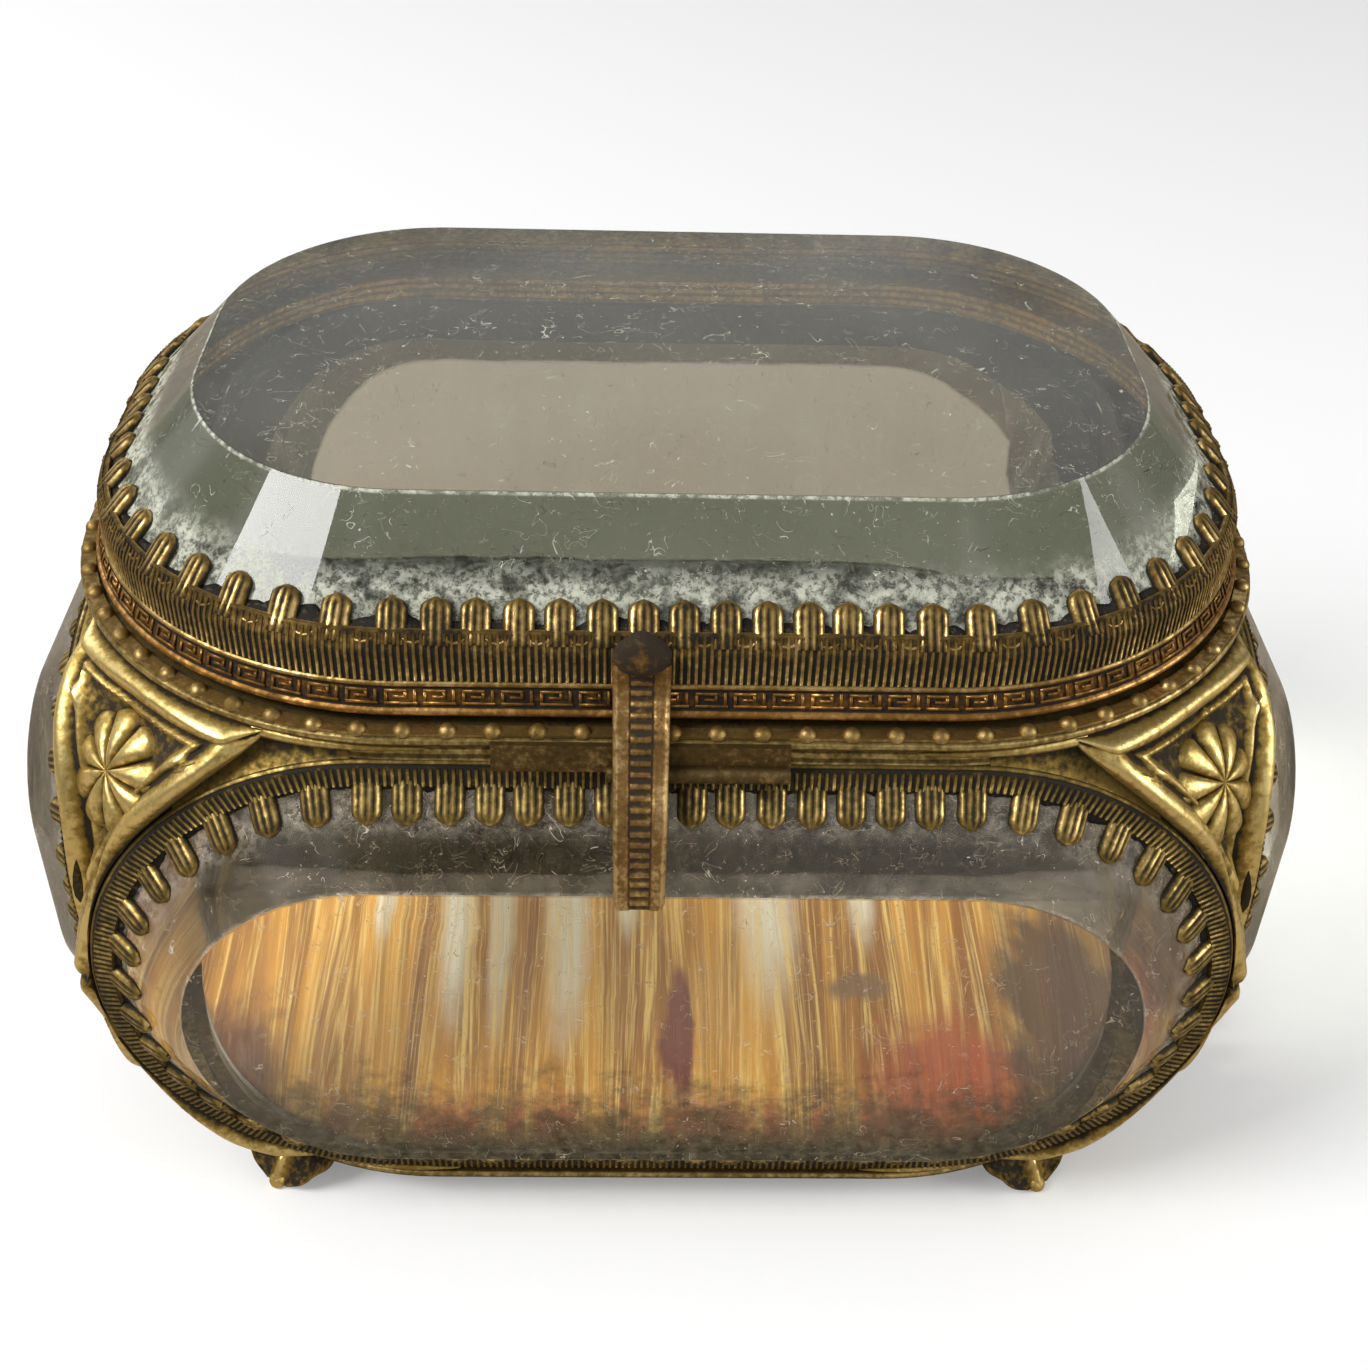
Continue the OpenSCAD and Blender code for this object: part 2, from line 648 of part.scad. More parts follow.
// One corner piece, upper or lower, with its rosette at part t of the way down the middle line
module corner(mirror_x, mirror_y, lower) {
    middle = corner_columns / 2;
    lift = lower ? 0 : corner_lift;
    reach = corner_reach;
    t = 0.26;
    seat = mix(corner_high(middle, lift, reach), corner_low(middle, lift, reach), t);
    color([0.64, 0.49, 0.20]) in_frame() mirror([mirror_x, 0, 0]) mirror([0, mirror_y, 0])
        translate([0, 0, panel_z]) mirror([0, 0, lower ? 1 : 0]) {
            corner_sheet(lift, reach);
            translate(seat + corner_out(middle) * corner_swell * sin(180 * t)) face_corner() rosette();
        }
}

module corner_front_left_upper() {
    corner(1, 0, false);
}

module corner_front_left_lower() {
    corner(1, 0, true);
}

module corner_front_right_upper() {
    corner(0, 0, false);
}

module corner_front_right_lower() {
    corner(0, 0, true);
}

module corner_rear_left_upper() {
    corner(1, 1, false);
}

module corner_rear_left_lower() {
    corner(1, 1, true);
}

module corner_rear_right_upper() {
    corner(0, 1, false);
}

module corner_rear_right_lower() {
    corner(0, 1, true);
}

// Flat ring under the bezels with a rolled outer edge
module base_rim() {
    base_reach = 2;
    color([0.50, 0.37, 0.15]) in_frame() round_sweep(band_a, band_b, band_r) {
        translate([-6, foot_h]) square([6 + base_reach, base_t - 0.02]);
        translate([base_reach, foot_h + base_t / 2 - 0.01]) circle(base_t / 2 - 0.01);
    }
}

// Plan outline filled to a distance outside the lid band
module plan_plate(grow, z, t) {
    a = band_a + grow;
    b = band_b + grow;
    r = band_r + grow;
    translate([0, 0, z]) linear_extrude(t) {
        for (x = [r - a, a - r], y = [r - b, b - r]) {
            translate([x, y]) circle(r);
        }
        translate([r - a, -b]) square([2 * (a - r), 2 * b]);
        translate([-a, r - b]) square([2 * a, 2 * (b - r)]);
    }
}

plate_inset = panel_inset + sheet_t + 0.5;
card_z = base_top + sheet_t + 0.02;
pad_z = card_z + card_t + 0.02;

module base_plate() {
    color([0.45, 0.34, 0.15]) in_frame() plan_plate(-plate_inset, base_top, sheet_t);
}

// Foot: a hollow-faced claw under the base rim, narrowing to a rounded toe that is cut flat where it stands
module foot(turn_x, turn_y) {
    where = 60;
    arc_r = band_r - 0.2;
    toe_x = 4.6;
    toe_r = 1.1;
    top_z = foot_h - 0.02;
    line = smooth_line([[-3.4, top_z - sheet_t / 2], [-0.4, top_z - sheet_t / 2],
        [1.6, foot_h * 0.66], [2.9, foot_h * 0.38], [toe_x, 0.3]], 6);
    color([0.72, 0.55, 0.24]) in_frame() mirror([turn_x, 0, 0]) mirror([0, turn_y, 0])
        translate([band_a - band_r + arc_r * cos(where), -(band_b - band_r) - arc_r * sin(where), 0])
        rotate([0, 0, -where]) difference() {
            union() {
                intersection() {
                    translate([0, foot_w / 2, 0]) rotate([90, 0, 0]) linear_extrude(foot_w)
                        polygon(strip_outline(line, sheet_t));
                    rotate([90, 0, 90]) translate([0, 0, -5]) linear_extrude(toe_x + 8)
                        polygon([[-0.8, -0.5], [0.8, -0.5], [foot_w * 0.17, foot_h * 0.3],
                            [foot_w * 0.36, foot_h * 0.62], [foot_w / 2, top_z],
                            [-foot_w / 2, top_z], [-foot_w * 0.36, foot_h * 0.62],
                            [-foot_w * 0.17, foot_h * 0.3]]);
                }
                translate([toe_x - 0.2, 0, toe_r - 0.3]) sphere(r = toe_r);
                translate([toe_x - 0.2, 0, toe_r - 0.3]) rotate([0, -48, 0])
                    cylinder(h = foot_h * 0.78, r1 = 0.9, r2 = 0.3);
            }
            translate([-9, -9, -5]) cube([18, 18, 5]);
        }
}

module foot_front_left() {
    foot(1, 0);
}

module foot_front_right() {
    foot(0, 0);
}

module foot_rear_left() {
    foot(1, 1);
}

module foot_rear_right() {
    foot(0, 1);
}

module lining_card() {
    color([0.70, 0.62, 0.48]) in_frame() plan_plate(-lining_inset, card_z, card_t);
}

// Padding: half size and corner radius of its plan, and its upper surface
lining_inset = plate_inset + 1.2;
pad_a = band_a - lining_inset;
pad_b = band_b - lining_inset;
pad_r = band_r - lining_inset;
silk_t = 0.35;

// Half depth of the padding's plan at a distance x from the middle
function pad_reach(x) =
    let (over = max(0, abs(x) - (pad_a - pad_r)))
    pad_b - pad_r + sqrt(max(0, pad_r * pad_r - over * over));

// Height of the padding over its flat back, soft at the edge and drawn in along the channels
function pad_height(u, v) =
    let (
        edge = 1 - pow(max(abs(u), abs(v)), 6),
        crown = (1 - u * u) * (1 - v * v),
        puff = abs(sin(90 * channel_count * (u + 1)))
    )
    pad_edge_h * (0.35 + 0.65 * edge) + pad_crown * crown * (0.45 + 0.55 * puff);

// Closed pad on a grid of columns and rows, its top raised by lift and its back at the given height
module pad_solid(columns, rows, lift, back, grow) {
    function u_at(i) = -cos(180 * i / columns) * 0.3 + (2 * i / columns - 1) * 0.7;
    function v_at(j) = 2 * j / rows - 1;
    function at(i, j, z) = [u_at(i) * (pad_a + grow), v_at(j) * (pad_reach(u_at(i) * pad_a) + grow), z];
    top = [for (i = [0:columns], j = [0:rows]) at(i, j, pad_height(u_at(i), v_at(j)) + lift)];
    under = [for (i = [0:columns], j = [0:rows])
        at(i, j, is_undef(back) ? pad_height(u_at(i), v_at(j)) : back)];
    polyhedron(concat(top, under), grid_faces(columns, rows));
}

module wadding() {
    color([0.88, 0.86, 0.80]) in_frame() translate([0, 0, pad_z]) pad_solid(36, 8, 0, 0, 0);
}

module silk_cover() {
    color([0.80, 0.60, 0.28]) in_frame() translate([0, 0, pad_z + 0.04]) pad_solid(36, 8, silk_t, undef, 0);
}

lid_glass();
lid_bezel();
lid_seat_ring();
clasp_tongue();
hinge_lid_leaf();
hinge_body_leaf();
hinge_pin();
top_rim();
bead_border();
catch_plate();
corner_front_left_upper();
corner_front_left_lower();
corner_front_right_upper();
corner_front_right_lower();
corner_rear_left_upper();
corner_rear_left_lower();
corner_rear_right_upper();
corner_rear_right_lower();
front_glass();
rear_glass();
left_glass();
right_glass();
front_bezel();
rear_bezel();
left_bezel();
right_bezel();
base_rim();
base_plate();
foot_front_left();
foot_front_right();
foot_rear_left();
foot_rear_right();
lining_card();
wadding();
silk_cover();
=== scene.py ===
import math

import bpy
import numpy as np
from mathutils import Matrix, Vector


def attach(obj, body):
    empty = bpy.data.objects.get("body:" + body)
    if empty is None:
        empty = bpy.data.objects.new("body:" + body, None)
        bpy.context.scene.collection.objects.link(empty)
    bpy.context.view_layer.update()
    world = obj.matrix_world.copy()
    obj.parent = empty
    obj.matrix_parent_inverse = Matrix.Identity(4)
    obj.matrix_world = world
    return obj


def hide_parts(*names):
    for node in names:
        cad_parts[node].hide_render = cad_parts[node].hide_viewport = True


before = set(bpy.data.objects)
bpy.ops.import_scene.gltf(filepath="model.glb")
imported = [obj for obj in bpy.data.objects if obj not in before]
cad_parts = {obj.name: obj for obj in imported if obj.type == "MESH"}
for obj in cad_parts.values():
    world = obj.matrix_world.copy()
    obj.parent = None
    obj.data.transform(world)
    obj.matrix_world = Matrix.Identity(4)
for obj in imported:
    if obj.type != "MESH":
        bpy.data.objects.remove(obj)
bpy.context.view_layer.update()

mm = 0.001
scene = bpy.context.scene
collection = scene.collection

# Sizes that several pieces share, in millimetres, as in the solids
casket = {
    "bandA": 51.0, "bandB": 34.0, "bandR": 29.0,
    "shiftY": 0.5, "sheet": 0.7, "glassEdge": 2.0,
    "panelZ": 31.9, "panelH": 53.0, "rimZ": 58.4, "ledgeZ": 61.7, "lidZ": 62.6, "rootZ": 68.4, "lidGlassZ": 66.5,
    "lidA": 41.65, "lidB": 24.65, "lidR": 19.65, "lidBevelW": 8.6, "lidBevelH": 8.8,
    "sideBevelW": 7.4, "sideBevelH": 6.6, "tableB": 17.3, "frontA": 42.0, "endA": 22.9, "endR": 11.0,
    "frontPlane": 33.0, "endPlane": 50.0, "bezelReach": 9.2, "bandFace": 2.4,
    "prongPitch": 4.0, "prongW": 2.2, "claspX": -2.5,
}


# ---- shapes ----
def outlineAt(s, a, b, r):
    quarter = (a - r) + math.pi * r / 2 + (b - r)
    s = np.mod(np.asarray(s, float), 4 * quarter)
    turned = s >= 2 * quarter
    s = np.where(turned, s - 2 * quarter, s)
    over = s > quarter
    s = np.where(over, 2 * quarter - s, s)
    t = np.clip((s - (a - r)) / r, 0, math.pi / 2)
    past = np.maximum(0, s - (a - r) - math.pi * r / 2)
    x = np.where(s < a - r, s, a - r + r * np.sin(t))
    y = -(b - r) - r * np.cos(t) + past
    nx, ny = np.sin(t), -np.cos(t)
    sign = np.where(turned, -1.0, 1.0)
    flip = np.where(over, -1.0, 1.0)
    return np.stack([x * sign, y * flip * sign], 1), np.stack([nx * sign, ny * flip * sign], 1)


def roundLength(a, b, r):
    return 4 * (a - r) + 4 * (b - r) + 2 * math.pi * r


# Points and outward directions evenly round a rounded rectangle, from the middle of its front side
def roundOutline(a, b, r, count, start=0.0):
    return outlineAt(start + np.arange(count) * roundLength(a, b, r) / count, a, b, r)


def gridFaces(columns, rows, start=0, closedColumns=False, closedRows=False, flip=False):
    faces = []
    for i in range(columns if closedColumns else columns - 1):
        for j in range(rows if closedRows else rows - 1):
            k, m = start + i * rows, start + (i + 1) % columns * rows
            face = (k + j, m + j, m + (j + 1) % rows, k + (j + 1) % rows)
            faces.append(face[::-1] if flip else face)
    return faces


# A profile is a list of (distance outside the outline, height, dirt and shade), anticlockwise; the third value is real
# dirt together with painted shade in the recesses and a painted highlight on the raised edges, bright where low
def sweptRing(a, b, r, profile, count=288):
    points, normals = roundOutline(a, b, r, count)
    section = np.array(profile, float)
    verts = np.zeros((count, len(section), 3))
    verts[:, :, :2] = points[:, None, :] + normals[:, None, :] * section[None, :, 0:1]
    verts[:, :, 2] = section[None, :, 1]
    dirtAndShade = np.tile(section[:, 2], count)
    return verts.reshape(-1, 3), gridFaces(count, len(section), 0, True, True), dirtAndShade


def wireArc(x, z, radius, first, last, steps, dirtAndShade):
    turns = np.radians(np.linspace(first, last, steps))
    return [(x + radius * math.cos(t), z + radius * math.sin(t), dirtAndShade) for t in turns]


def merged(parts):
    verts, faces, dirtAndShade, start = [], [], [], 0
    for v, f, g in parts:
        verts.append(np.asarray(v, float))
        faces += [tuple(k + start for k in face) for face in f]
        dirtAndShade.append(np.asarray(g, float))
        start += len(v)
    return np.concatenate(verts), faces, np.concatenate(dirtAndShade)


def moved(part, matrix):
    verts, faces, dirtAndShade = part
    matrix = np.array(matrix, float)
    if np.linalg.det(matrix[:3, :3]) < 0:
        faces = [face[::-1] for face in faces]
    return np.asarray(verts, float) @ matrix[:3, :3].T + matrix[:3, 3], faces, dirtAndShade


def makePiece(name, part, material=None, sharp=None):
    verts, faces, dirtAndShade = part
    mesh = bpy.data.meshes.new(name)
    mesh.from_pydata((np.asarray(verts) * mm).tolist(), [], [list(face) for face in faces])
    mesh.update()
    mesh.polygons.foreach_set("use_smooth", [True] * len(mesh.polygons))
    if sharp is not None:
        mesh.set_sharp_from_angle(angle=math.radians(sharp))
    layer = mesh.attributes.new("dirtAndShade", "FLOAT", "POINT")
    layer.data.foreach_set("value", np.asarray(dirtAndShade, np.float32))
    piece = bpy.data.objects.new(name, mesh)
    collection.objects.link(piece)
    if material is not None:
        mesh.materials.append(material)
    return piece


inFrame = Matrix.Translation((0, casket["shiftY"], 0))


# Stands a panel that is drawn flat on its side of the casket
def sideMatrix(turn, plane):
    return (inFrame @ Matrix.Rotation(math.radians(turn), 4, "Z") @ Matrix.Translation((0, -plane, casket["panelZ"]))
            @ Matrix.Rotation(math.radians(90), 4, "X"))


sides = {
    "front": {"turn": 0, "plane": casket["frontPlane"], "a": casket["frontA"], "r": casket["tableB"]},
    "rear": {"turn": 180, "plane": casket["frontPlane"], "a": casket["frontA"], "r": casket["tableB"]},
    "left": {"turn": -90, "plane": casket["endPlane"], "a": casket["endA"], "r": casket["endR"]},
    "right": {"turn": 90, "plane": casket["endPlane"], "a": casket["endA"], "r": casket["endR"]},
}


# ---- materials ----
def addNode(tree, kind, inputs=None, **settings):
    node = tree.nodes.new(kind)
    for key, value in settings.items():
        setattr(node, key, value)
    for key, value in (inputs or {}).items():
        if isinstance(value, bpy.types.NodeSocket):
            tree.links.new(value, node.inputs[key])
        else:
            node.inputs[key].default_value = value
    return node


def calc(tree, operation, a, b=0.0, clamp=False):
    return addNode(tree, "ShaderNodeMath", {0: a, 1: b}, operation=operation, use_clamp=clamp).outputs[0]


def scaledSum(tree, value, factor, added):
    return addNode(tree, "ShaderNodeMath", {0: value, 1: factor, 2: added}, operation="MULTIPLY_ADD").outputs[0]


def blended(tree, factor, a, b):
    return addNode(tree, "ShaderNodeMix", {0: factor, 6: a, 7: b}, data_type="RGBA").outputs[2]


def ranged(tree, value, low, high, start=0.0, end=1.0):
    return addNode(tree, "ShaderNodeMapRange", {"Value": value, "From Min": low, "From Max": high, "To Min": start,
                                                "To Max": end}, interpolation_type="SMOOTHSTEP").outputs[0]


def noise(tree, vector, size, detail=3.0, rough=0.55, distortion=0.0):
    return addNode(tree, "ShaderNodeTexNoise", {"Vector": vector, "Scale": size, "Detail": detail, "Roughness": rough,
                                                "Distortion": distortion}).outputs[0]


def stretched(tree, vector, size, place=(0, 0, 0)):
    return addNode(tree, "ShaderNodeMapping", {"Vector": vector, "Scale": size, "Location": place}).outputs[0]


def newGroup(name, inputs, outputs):
    group = bpy.data.node_groups.new(name, "ShaderNodeTree")
    for label, kind, value in inputs:
        socket = group.interface.new_socket(name=label, in_out="INPUT", socket_type="NodeSocket" + kind)
        if value is not None:
            socket.default_value = value
    for label, kind in outputs:
        group.interface.new_socket(name=label, in_out="OUTPUT", socket_type="NodeSocket" + kind)
    return group, group.nodes.new("NodeGroupInput"), group.nodes.new("NodeGroupOutput")


# Worn gilding: bright on the rubbed edges, where a painted highlight is added to the wear, brown in the field, near
# black where dirt has settled and where painted shade fills the recesses
def agedAndShadedGiltGroup():
    group, given, out = newGroup("agedAndShadedGilt", [
        ("Vector", "Vector", None), ("Dirt And Shade", "Float", 0.4), ("Bright", "Color", (0.9, 0.62, 0.2, 1)),
        ("Mid", "Color", (0.4, 0.24, 0.06, 1)), ("Dark", "Color", (0.03, 0.02, 0.01, 1)),
        ("Patch Size", "Float", 120.0), ("Speckle Size", "Float", 1500.0), ("Tarnish", "Float", 0.5)],
        [("Color", "Color"), ("Roughness", "Float"), ("Metallic", "Float"), ("Height", "Float")])
    patch = noise(group, given.outputs["Vector"], given.outputs["Patch Size"], 6.0, 0.62, 0.4)
    speckle = noise(group, given.outputs["Vector"], given.outputs["Speckle Size"], 4.0, 0.6)
    patchShift = calc(group, "MULTIPLY", calc(group, "SUBTRACT", patch, 0.5), given.outputs["Tarnish"])
    speckleShift = calc(group, "MULTIPLY", calc(group, "SUBTRACT", speckle, 0.5), 1.1)
    # darkening is the piece's real dirt and painted shade, shifted by tarnish patches and speckle; where it is low the
    # bright colour gives a painted highlight besides rubbed wear
    darkening = calc(group, "ADD", calc(group, "ADD", given.outputs["Dirt And Shade"], patchShift), speckleShift, True)
    toMid = ranged(group, darkening, 0.05, 0.5)
    toDark = ranged(group, darkening, 0.5, 0.95)
    color = blended(group, toDark, blended(group, toMid, given.outputs["Bright"], given.outputs["Mid"]),
                    given.outputs["Dark"])
    group.links.new(color, out.inputs["Color"])
    group.links.new(ranged(group, darkening, 0.0, 1.0, 0.34, 0.85), out.inputs["Roughness"])
    group.links.new(ranged(group, darkening, 0.6, 1.0, 1.0, 0.25), out.inputs["Metallic"])
    group.links.new(calc(group, "ADD", calc(group, "MULTIPLY", patch, 0.4), speckle), out.inputs["Height"])
    return group


agedAndShadedGilt = agedAndShadedGiltGroup()


def newMaterial(name):
    material = bpy.data.materials.new(name)
    material.use_nodes = True
    tree = material.node_tree
    return material, tree, tree.nodes["Principled BSDF"], tree.nodes["Material Output"]


# settings: bright, mid, dark colours, patch and speckle size, tarnish, dirt and shade that is added everywhere; the
# piece's own values add real dirt, painted shade in the recesses and a painted highlight on the raised edges
def giltMaterial(name, look):
    material, tree, shader, _ = newMaterial(name)
    vector = addNode(tree, "ShaderNodeTexCoord").outputs["Object"]
    painted = addNode(tree, "ShaderNodeAttribute", attribute_name="dirtAndShade").outputs["Fac"]
    dirtAndShade = calc(tree, "ADD", painted, look["dirtAndShade"])
    low, high = look.get("coppery", (0, 0))
    if look.get("ledges"):
        height = addNode(tree, "ShaderNodeSeparateXYZ", {0: vector}).outputs[2]
        lines = addNode(tree, "ShaderNodeTexWave", {"Vector": vector, "Scale": look["ledges"], "Distortion": 0.6,
                                                    "Detail": 2.0}, bands_direction="Z").outputs["Fac"]
        dirtAndShade = calc(tree, "ADD", dirtAndShade, ranged(tree, lines, 0.35, 0.9, -0.12, 0.22))
        del height
    agedAndShaded = addNode(tree, "ShaderNodeGroup", node_tree=agedAndShadedGilt)
    for key, value in {"Vector": vector, "Dirt And Shade": dirtAndShade, "Bright": look["bright"], "Mid": look["mid"],
                       "Dark": look["dark"], "Patch Size": look["patch"], "Speckle Size": look["speckle"],
                       "Tarnish": look["tarnish"]}.items():
        if isinstance(value, bpy.types.NodeSocket):
            tree.links.new(value, agedAndShaded.inputs[key])
        else:
            agedAndShaded.inputs[key].default_value = value
    color = agedAndShaded.outputs["Color"]
    if high:
        z = addNode(tree, "ShaderNodeSeparateXYZ", {0: vector}).outputs[2]
        below = ranged(tree, z, low * mm, high * mm, 1.0, 0.0)
        tinted = addNode(tree, "ShaderNodeMix", {0: 1.0, 6: color, 7: look["copperTint"]}, data_type="RGBA",
                         blend_type="MULTIPLY").outputs[2]
        color = blended(tree, below, color, tinted)
    bump = addNode(tree, "ShaderNodeBump", {"Height": agedAndShaded.outputs["Height"], "Strength": look.get("bump", 0.45),
                                            "Distance": 0.00012})
    tree.links.new(color, shader.inputs["Base Color"])
    tree.links.new(agedAndShaded.outputs["Roughness"], shader.inputs["Roughness"])
    tree.links.new(agedAndShaded.outputs["Metallic"], shader.inputs["Metallic"])
    tree.links.new(bump.outputs["Normal"], shader.inputs["Normal"])
    return material


giltLooks = {
    "giltBezel": {"bright": (0.72, 0.52, 0.21, 1), "mid": (0.25, 0.17, 0.05, 1), "dark": (0.020, 0.014, 0.006, 1),
                  "patch": 170.0, "speckle": 1400.0, "tarnish": 1.15, "dirtAndShade": 0.24},
    "giltLid": {"bright": (0.72, 0.52, 0.22, 1), "mid": (0.25, 0.16, 0.048, 1), "dark": (0.016, 0.011, 0.005, 1),
                "patch": 150.0, "speckle": 1400.0, "tarnish": 1.1, "dirtAndShade": 0.26, "coppery": (64.4, 65.6),
                "copperTint": (1.0, 0.78, 0.62, 1)},
    "giltCorner": {"bright": (0.84, 0.64, 0.25, 1), "mid": (0.36, 0.245, 0.065, 1), "dark": (0.03, 0.019, 0.007, 1),
                   "patch": 130.0, "speckle": 1300.0, "tarnish": 0.7, "dirtAndShade": 0.1},
    "giltTongue": {"bright": (0.74, 0.52, 0.24, 1), "mid": (0.26, 0.15, 0.05, 1), "dark": (0.03, 0.018, 0.008, 1),
                   "patch": 190.0, "speckle": 1800.0, "tarnish": 1.2, "dirtAndShade": 0.16},
    "rimBrass": {"bright": (0.62, 0.45, 0.18, 1), "mid": (0.20, 0.14, 0.045, 1), "dark": (0.018, 0.013, 0.006, 1),
                 "patch": 150.0, "speckle": 1500.0, "tarnish": 0.9, "dirtAndShade": 0.42, "ledges": 420.0},
    "beadGilt": {"bright": (0.66, 0.47, 0.2, 1), "mid": (0.28, 0.18, 0.055, 1), "dark": (0.02, 0.014, 0.007, 1),
                 "patch": 150.0, "speckle": 1700.0, "tarnish": 0.9, "dirtAndShade": 0.42},
    "dullBrass": {"bright": (0.42, 0.29, 0.12, 1), "mid": (0.13, 0.085, 0.032, 1), "dark": (0.014, 0.010, 0.005, 1),
                  "patch": 180.0, "speckle": 1500.0, "tarnish": 1.0, "dirtAndShade": 0.5},
    "footGilt": {"bright": (0.86, 0.62, 0.22, 1), "mid": (0.36, 0.235, 0.06, 1), "dark": (0.02, 0.014, 0.005, 1),
                 "patch": 200.0, "speckle": 1600.0, "tarnish": 0.6, "dirtAndShade": 0.08},
}
gilt = {name: giltMaterial(name, look) for name, look in giltLooks.items()}


def crustMaterial():
    material, tree, shader, _ = newMaterial("grimeCrust")
    vector = addNode(tree, "ShaderNodeTexCoord").outputs["Object"]
    grain = noise(tree, vector, 1800.0, 5.0, 0.7)
    color = blended(tree, ranged(tree, grain, 0.52, 0.72), (0.016, 0.011, 0.006, 1), (0.16, 0.12, 0.075, 1))
    bump = addNode(tree, "ShaderNodeBump", {"Height": grain, "Strength": 0.9, "Distance": 0.0003})
    tree.links.new(color, shader.inputs["Base Color"])
    tree.links.new(bump.outputs["Normal"], shader.inputs["Normal"])
    shader.inputs["Roughness"].default_value = 0.85
    return material


grimeCrust = crustMaterial()

# Old plate glass: clear on the flat, greyer through the bevels, where the grey is a painted reflection, with lint, dust
# and a pale haze near the prongs
glassLooks = {
    "lidPlate": {"tint": (0.74, 0.74, 0.67, 1), "bevel": (0.235, 0.25, 0.205, 1), "dust": (0.60, 0.61, 0.50, 1),
                 "haze": 0.9},
    "sidePlate": {"tint": (0.97, 0.95, 0.89, 1), "bevel": (0.60, 0.56, 0.46, 1), "dust": (0.62, 0.54, 0.43, 1),
                  "haze": 0.35, "sootAndShade": (14.0, 23.0)},
}


def glassMarksGroup():
    group, given, out = newGroup("glassMarks", [("Vector", "Vector", None), ("Haze", "Float", 0.0)],
                                 [("Marks", "Float"), ("Height", "Float")])
    vector = given.outputs["Vector"]
    curl = noise(group, vector, 300.0, 2.0, 0.5, 1.5)
    line = calc(group, "ABSOLUTE", calc(group, "SUBTRACT", curl, 0.5))
    thin = ranged(group, line, 0.0, 0.006, 1.0, 0.0)
    sparse = ranged(group, noise(group, vector, 420.0, 1.0), 0.57, 0.60)
    lint = calc(group, "MULTIPLY", thin, sparse)
    specks = ranged(group, noise(group, vector, 2300.0, 2.0, 0.7), 0.68, 0.73)
    dusty = ranged(group, noise(group, vector, 60.0, 3.0), 0.42, 0.62)
    dust = calc(group, "MULTIPLY", specks, dusty)
    cloud = noise(group, vector, 420.0, 6.0, 0.62, 0.3)
    pits = ranged(group, noise(group, vector, 1500.0, 4.0, 0.75), 0.40, 0.56, 0.25, 1.0)
    settled = calc(group, "MULTIPLY", calc(group, "MULTIPLY", given.outputs["Haze"], pits),
                   ranged(group, cloud, 0.32, 0.6, 0.12, 1.0))
    film = calc(group, "MULTIPLY", ranged(group, noise(group, vector, 45.0, 4.0, 0.6), 0.4, 0.75), 0.035)
    marks = calc(group, "ADD", calc(group, "MULTIPLY", calc(group, "ADD", lint, dust, True), 0.75),
                 calc(group, "ADD", settled, film), True)
    group.links.new(marks, out.inputs["Marks"])
    group.links.new(calc(group, "ADD", calc(group, "MULTIPLY", lint, 0.4),
                         calc(group, "MULTIPLY", noise(group, vector, 70.0, 3.0), 0.5)), out.inputs["Height"])
    return group


glassMarks = glassMarksGroup()


def glassMaterial(name, look):
    material, tree, shader, out = newMaterial(name)
    vector = addNode(tree, "ShaderNodeTexCoord").outputs["Object"]
    painted = addNode(tree, "ShaderNodeAttribute", attribute_name="dirtAndShade").outputs["Fac"]
    marks = tree.nodes.new("ShaderNodeGroup")
    marks.node_tree = glassMarks
    tree.links.new(vector, marks.inputs["Vector"])
    haze = calc(tree, "MULTIPLY", ranged(tree, painted, 0.3, 1.0), look["haze"])
    tree.links.new(haze, marks.inputs["Haze"])
    # the bevel colour is a painted reflection: the glass turns greyer from the table's edge outwards
    color = blended(tree, ranged(tree, painted, 0.0, 0.2), look["tint"], look["bevel"])
    bump = addNode(tree, "ShaderNodeBump", {"Height": marks.outputs["Height"], "Strength": 0.12, "Distance": 0.0002})
    tree.links.new(color, shader.inputs["Base Color"])
    tree.links.new(bump.outputs["Normal"], shader.inputs["Normal"])
    shader.inputs["Roughness"].default_value = 0.015
    shader.inputs["Transmission Weight"].default_value = 1.0
    shader.inputs["IOR"].default_value = 1.5
    dust = addNode(tree, "ShaderNodeBsdfDiffuse", {"Color": look["dust"]})
    surface = shader.outputs[0]
    # Below a height the glass is darkened: real soot and dirt together with a painted dark reflection in the low bevel
    if "sootAndShade" in look:
        low, high = look["sootAndShade"]
        level = addNode(tree, "ShaderNodeSeparateXYZ", {0: vector}).outputs[2]
        uneven = calc(tree, "MULTIPLY", calc(tree, "SUBTRACT", noise(tree, vector, 260.0, 5.0, 0.7), 0.5), 22 * mm)
        share = ranged(tree, calc(tree, "ADD", level, uneven), low * mm, high * mm, 0.75, 0.0)
        grain = ranged(tree, noise(tree, vector, 900.0, 4.0, 0.7), 0.35, 0.7)
        sootAndShade = addNode(tree, "ShaderNodeBsdfDiffuse",
                       {"Color": blended(tree, grain, (0.030, 0.024, 0.012, 1), (0.16, 0.13, 0.075, 1))})
        surface = addNode(tree, "ShaderNodeMixShader", {0: share, 1: surface, 2: sootAndShade.outputs[0]}).outputs[0]
    dusty = addNode(tree, "ShaderNodeMixShader", {0: marks.outputs["Marks"], 1: surface, 2: dust.outputs[0]})
    clear = addNode(tree, "ShaderNodeBsdfTransparent", {"Color": (0.95, 0.95, 0.92, 1)})
    path = addNode(tree, "ShaderNodeLightPath")
    mixed = addNode(tree, "ShaderNodeMixShader", {0: path.outputs["Is Shadow Ray"], 1: dusty.outputs[0],
                                                  2: clear.outputs[0]})
    tree.links.new(mixed.outputs[0], out.inputs["Surface"])
    return material


glass = {name: glassMaterial(name, look) for name, look in glassLooks.items()}
print("materials of brass and glass are ready")


